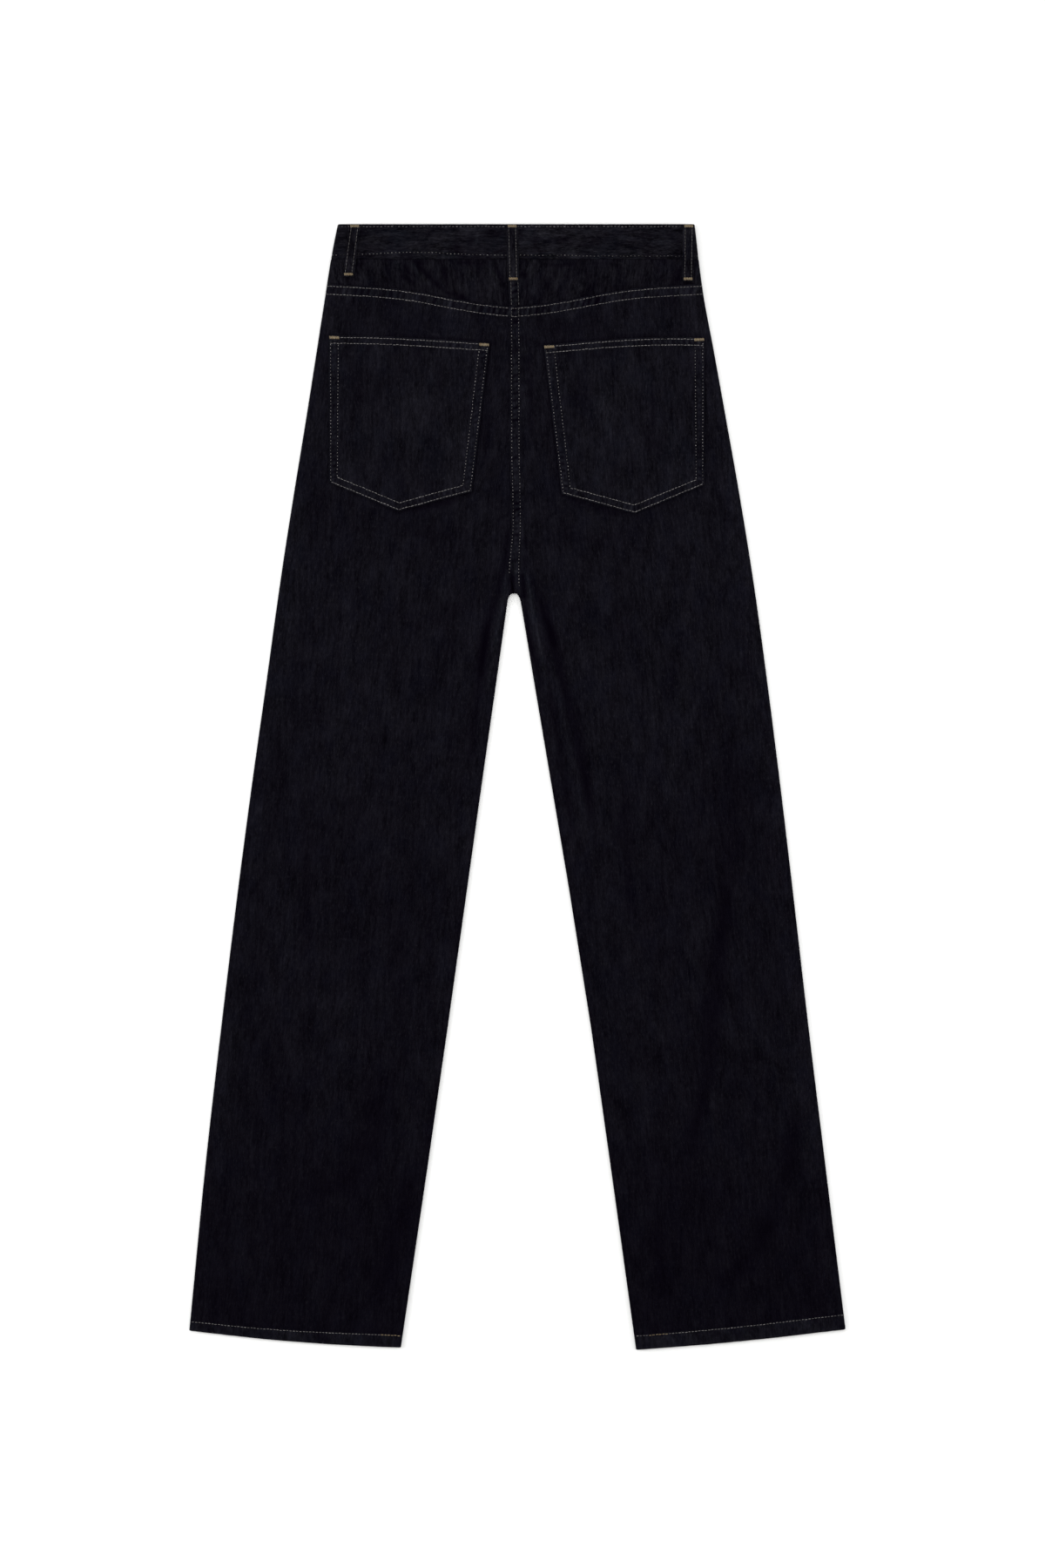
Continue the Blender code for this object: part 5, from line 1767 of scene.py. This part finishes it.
def tack(x, down, width, face, up, high=2.9, turn=0.0):
    """Run of a bar tack: short threads side by side, each slanting a little."""
    count = int(width / 0.62)
    across = (np.arange(count) + 0.5) / count * width - width / 2
    slant = np.where(np.arange(count) % 2 == 0, 0.22, -0.22)
    tall = high * (1 + wobble.normal(0.0, 0.07, count))
    cos, sin = np.cos(turn), np.sin(turn)
    ends = []
    for way in (-0.5, 0.5):
        a, b = across + way * 2 * slant, way * tall
        ends.append(face(x + a * cos - b * sin, down + a * sin + b * cos))
    return run_of(ends, up, TACK)


UP, UNDER = (0.0, 0.0, 1.0), (0.0, 0.0, -1.0)
OUTER_HEM, INNER_HEM = 1070.0, 1090.0  # how far down each end of a hem's stitching is


def sew_hem(side, start, end, face, up, style):
    """Run of stitches along a hem, between two shares of the way from its outer edge."""
    across = np.linspace(start, end, 90)
    start_x, end_x = outer_x(side, OUTER_HEM), inner_x(side, INNER_HEM, 0.0)
    x = start_x + (end_x - start_x) * across
    return line(x, hem_down(side, across) - hem_line(side, across), face, up, style)


def on(face, side):
    """Points on a panel's face from places, for the stitches."""
    return lambda x, down: place(x, down, face(side, x, down)[0])


# %% Seams of the backs and yokes
HEM_ENDS = (0.006, 0.994)  # where hem stitching starts and ends, as shares of the leg's width
GOLD_HEM = {"left": (0.90, 1.0), "right": (0.84, 0.935)}  # where it is sewn over in gold
YOKE_END = yoke_down(-5.0)  # where the yoke meets the seat seam
thread_on = {}
for side in SIDES:
    back = on(back_face, side)
    x = np.linspace(outer_x(side, 70.0) + toward(side), seat_seam_x(85.0) - 1.2 * toward(side), 120)
    style = BOLD if side == "left" else BOLD._replace(tone=0.82)
    runs = [line(x, yoke_down(x) + GAP / 2 + at, back, UP, style) for at in YOKE_STITCHES]
    if side == "right":
        for at, low, bend in zip(SEAT_STITCHES, (341.0, 354.0), ((300.0, 345.0), (336.0, 354.0))):
            down = np.linspace(YOKE_END + 11.0, low, 90)
            x = seat_seam_x(down) + at - 2.4 * ease(*bend, down)
            runs.append(line(x, down, back, UP, DOTTED))
        down = np.linspace(YOKE_END + 1.0, YOKE_END + 10.0, 9)
        runs += [line(seat_seam_x(down) + at, down, back, UP, SMOOTH) for at in SEAT_STITCHES]
    low, high = GOLD_HEM[side]
    first, last = HEM_ENDS
    ends = ((first, low, PLAIN), (high, max(high, last), PLAIN), (low, min(high, last), BOLD))
    hems = [sew_hem(side, start, end, back, UP, style) for start, end, style in ends]
    runs += hems[: 2 if high < last else 1]
    gold = sew_gold(f"hem_restart_{side}", hems[2:])
    thread_on[side] = [sew(f"topstitch_back_{side}", runs), gold]

down = np.linspace(46.0, YOKE_END - 1.0, 30)
yoke = on(yoke_face, "right")
seat_runs = [line(seat_seam_x(down) + at, down, yoke, UP, SMOOTH) for at in SEAT_STITCHES]
thread_on["yoke"] = [sew("topstitch_yoke_right", seat_runs)]

# %% [markdown]
# ## Stitching of pockets, waistband and loops
#
# The pocket's side lines are its outline moved in, with mitred corners, and its mouth has two
# lines of its own. Bar tacks in gold thread lock both ends of every mouth and belt loop: short
# threads side by side, which make a bar nearly three millimetres high.

# %% Pocket stitching
def on_pocket(pocket):
    """Points on a pocket's face from places on the garment, which are turned back first."""
    return lambda x, down: place(x, down, pocket_face(pocket, *on_mouth(pocket, x, down))[0])


for pocket in POCKETS:
    face = on_pocket(pocket)
    runs = []
    for inset, top in zip(SIDE_STITCHES, (1.0, MOUTH_STITCHES[1])):
        corners = pocket_outline(inset)
        for end, foot in ((0, 1), (-1, -2)):
            lean = (corners[end] - corners[foot]) / (corners[foot][1] - corners[end][1])
            corners[end] = corners[end] - lean * top
        if inset == SIDE_STITCHES[1]:
            corners[0, 0] += 1.2
            corners[3] += (-1.2, 0.4)
            corners[-1, 0] -= 1.6
        for number, (start, end) in enumerate(zip(corners, corners[1:])):
            u, v = (np.linspace(a, b, 30) for a, b in zip(start, end))
            style = BOLD if number in (1, 2) else DOTTED
            runs.append(line(*on_garment(pocket, u, v), face, UP, style))
    for below in MOUTH_STITCHES:
        u = np.linspace(1.2 - POCKET_MOUTH, POCKET_MOUTH - 1.2, 60)
        v = below - mouth_bow(pocket, u)
        runs.append(line(*on_garment(pocket, u, v), face, UP))
    turn = toward(pocket.side) * POCKET_TILT
    tacks = []
    for u in (5.2 - POCKET_MOUTH, POCKET_MOUTH - 5.2):
        x, down = on_garment(pocket, u, 2.0 - mouth_bow(pocket, u))
        tacks.append(tack(x, down, 9.4, face, UP, turn=turn))
    thread_on[pocket.side].append(sew(f"topstitch_pocket_{pocket.side}", runs))
    thread_on[pocket.side].append(sew_gold(f"pocket_tacks_{pocket.side}", tacks))


# %% Waistband stitching, buttonhole and belt loop stitching
def on_band(run, down):
    """Points on the waistband, from runs round it and heights on it, and the directions out."""
    x, z, way, lean = band_path(np.array([[0.0], [BAND_DEPTH]]))
    gone = gone_along(x[0], z[0])
    share = down / BAND_DEPTH
    at_x = np.interp(run, gone, x[0]) * (1 - share) + np.interp(run, gone, x[1]) * share
    out = unit(np.stack([np.interp(run, gone, way), np.interp(run, gone, lean)], -1))
    point = np.stack([at_x, WAIST_Y - down, np.interp(run, gone, z[0])], -1)
    out = np.stack([out[:, 0], 0 * down, out[:, 1]], -1)
    return point + out * band_relief(run, down)[0][:, None], out


band_length = max(band[1]) / MM
runs = []
for at, style in zip(BAND_STITCHES, (EDGE, FINE)):
    spots = []

    def on_band_here(run, down):
        point, out = on_band(run, down)
        spots.append(out)
        return point

    at_run = np.linspace(2.0, band_length - 2.0, 300)
    stitches = line(at_run, band_line(at, at_run), on_band_here, UP, style, 0.16, 3.5)
    # The lower line's threads are darker across the wearer's right half
    worn = 1 - 0.45 * (at > BAND_DEPTH / 2) * ease(-0.02, 0.02, stitches[0][:, 0] * MM)
    runs.append((*stitches[:2], spots[0], stitches[3], stitches[4] * worn))
band_threads = [sew("topstitch_waistband", runs)]

HOLE_LENGTH = 19.0
HOLE_X = FRONT_SEAM_X - 19.0
turns = np.linspace(0.0, 2 * np.pi, 61)[:-1]
hole_x = HOLE_X + HOLE_LENGTH / 2 * (1 + np.cos(turns))
hole_down = BAND_DEPTH / 2 + 1.5 * np.sign(np.sin(turns)) * np.abs(np.sin(turns)) ** 0.6
away = unit(np.stack([0.35 * np.cos(turns), np.sin(turns)], -1))
hole = [
    place(hole_x + reach * away[:, 0], hole_down + reach * away[:, 1], BAND_FRONT - 0.1)
    for reach in (-0.2, 1.7)
]
band_threads.append(sew_gold("buttonhole_stitch", [run_of(hole, UNDER, Style(1.0, 0.3, 0.8, 0.1))]))

loop_threads = {}
for loop in LOOPS:
    up = UP if loop.face == "back" else UNDER

    def face(x, down, loop=loop):
        return place(x, down, loop_face(loop, x - loop_middle(loop, down), down)[1])

    down = np.linspace(LOOP_TOP + 0.8, loop.bottom - 0.8, 20)
    lines = [loop_middle(loop, down) + at for at in (-LOOP_STITCH, LOOP_STITCH)]
    runs = [line(x, down, face, up, SMOOTH, 0.08) for x in lines]
    ends = (LOOP_TOP + LOOP_TACKS[0], loop.bottom - LOOP_TACKS[1])
    tacks = [tack(loop_middle(loop, at), at, LOOP_WIDTH - 2.8, face, up, high=2.7) for at in ends]
    sewn, tacked = sew(f"topstitch_{loop.name}", runs), sew_gold(f"tacks_{loop.name}", tacks)
    loop_threads[loop.name] = [sewn, tacked]

# %% Stitching of the fronts
FLY_STITCHES = (1.8, 8.1)  # in from the fly's edge, or out from the seam below it
front_threads = {}
for side in SIDES:
    front = on(front_face, side)
    turns = np.radians(np.linspace(88.5, 8.0, 60))
    runs = []
    for at in SCOOP_STITCHES:
        down = BAND_DEPTH + GAP + (SCOOP_DEPTH + 0.6 * at) * np.cos(turns)
        x = outer_x(side, down) + toward(side) * (SCOOP_WIDTH + at) * np.sin(turns)
        runs.append(line(x, down, front, UNDER))
    runs.append(sew_hem(side, *HEM_ENDS, front, UNDER, PLAIN))
    for at in FLY_STITCHES:
        if side == "left":
            down = np.linspace(BAND_DEPTH + 2.0, FLY_BOTTOM - at * 0.7, 80)
            x = np.minimum(fly_edge(down + 0.5 * at) + at, FRONT_SEAM_X - 1.0)
        else:
            down = np.linspace(FLY_BOTTOM - 6.0, 340.0, 60)
            x = np.full(60, FRONT_SEAM_X + at)
        runs.append(line(x, down, front, UNDER))
    front_threads[side] = [sew(f"topstitch_front_{side}", runs)]

# %% [markdown]
# ## Each piece on the one body
#
# Last, every piece is attached to the one body, the solid that it stands for is hidden, and the flat
# size it was cut to is printed. The whole garment is one body: cloth has no joints.

for side in SIDES:
    cloth_piece(backs[side], f"back_panel_{side}", thread_on[side])
    cloth_piece(yokes[side], f"yoke_{side}", thread_on["yoke"] if side == "right" else ())
    cloth_piece(pockets[side], f"back_pocket_{side}")
    cloth_piece(fronts[side], f"front_panel_{side}", front_threads[side])
    cloth_piece(facings[side], f"pocket_facing_{side}")
cloth_piece(band, "waistband", band_threads)
for loop in LOOPS:
    cloth_piece(loops[loop.name], loop.name, loop_threads[loop.name])
cloth_piece(shield, "fly_shield")
cloth_piece(zip_tape, "zip", [teeth])
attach(teeth, "root")
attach(button, "root")
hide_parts("waist_button")
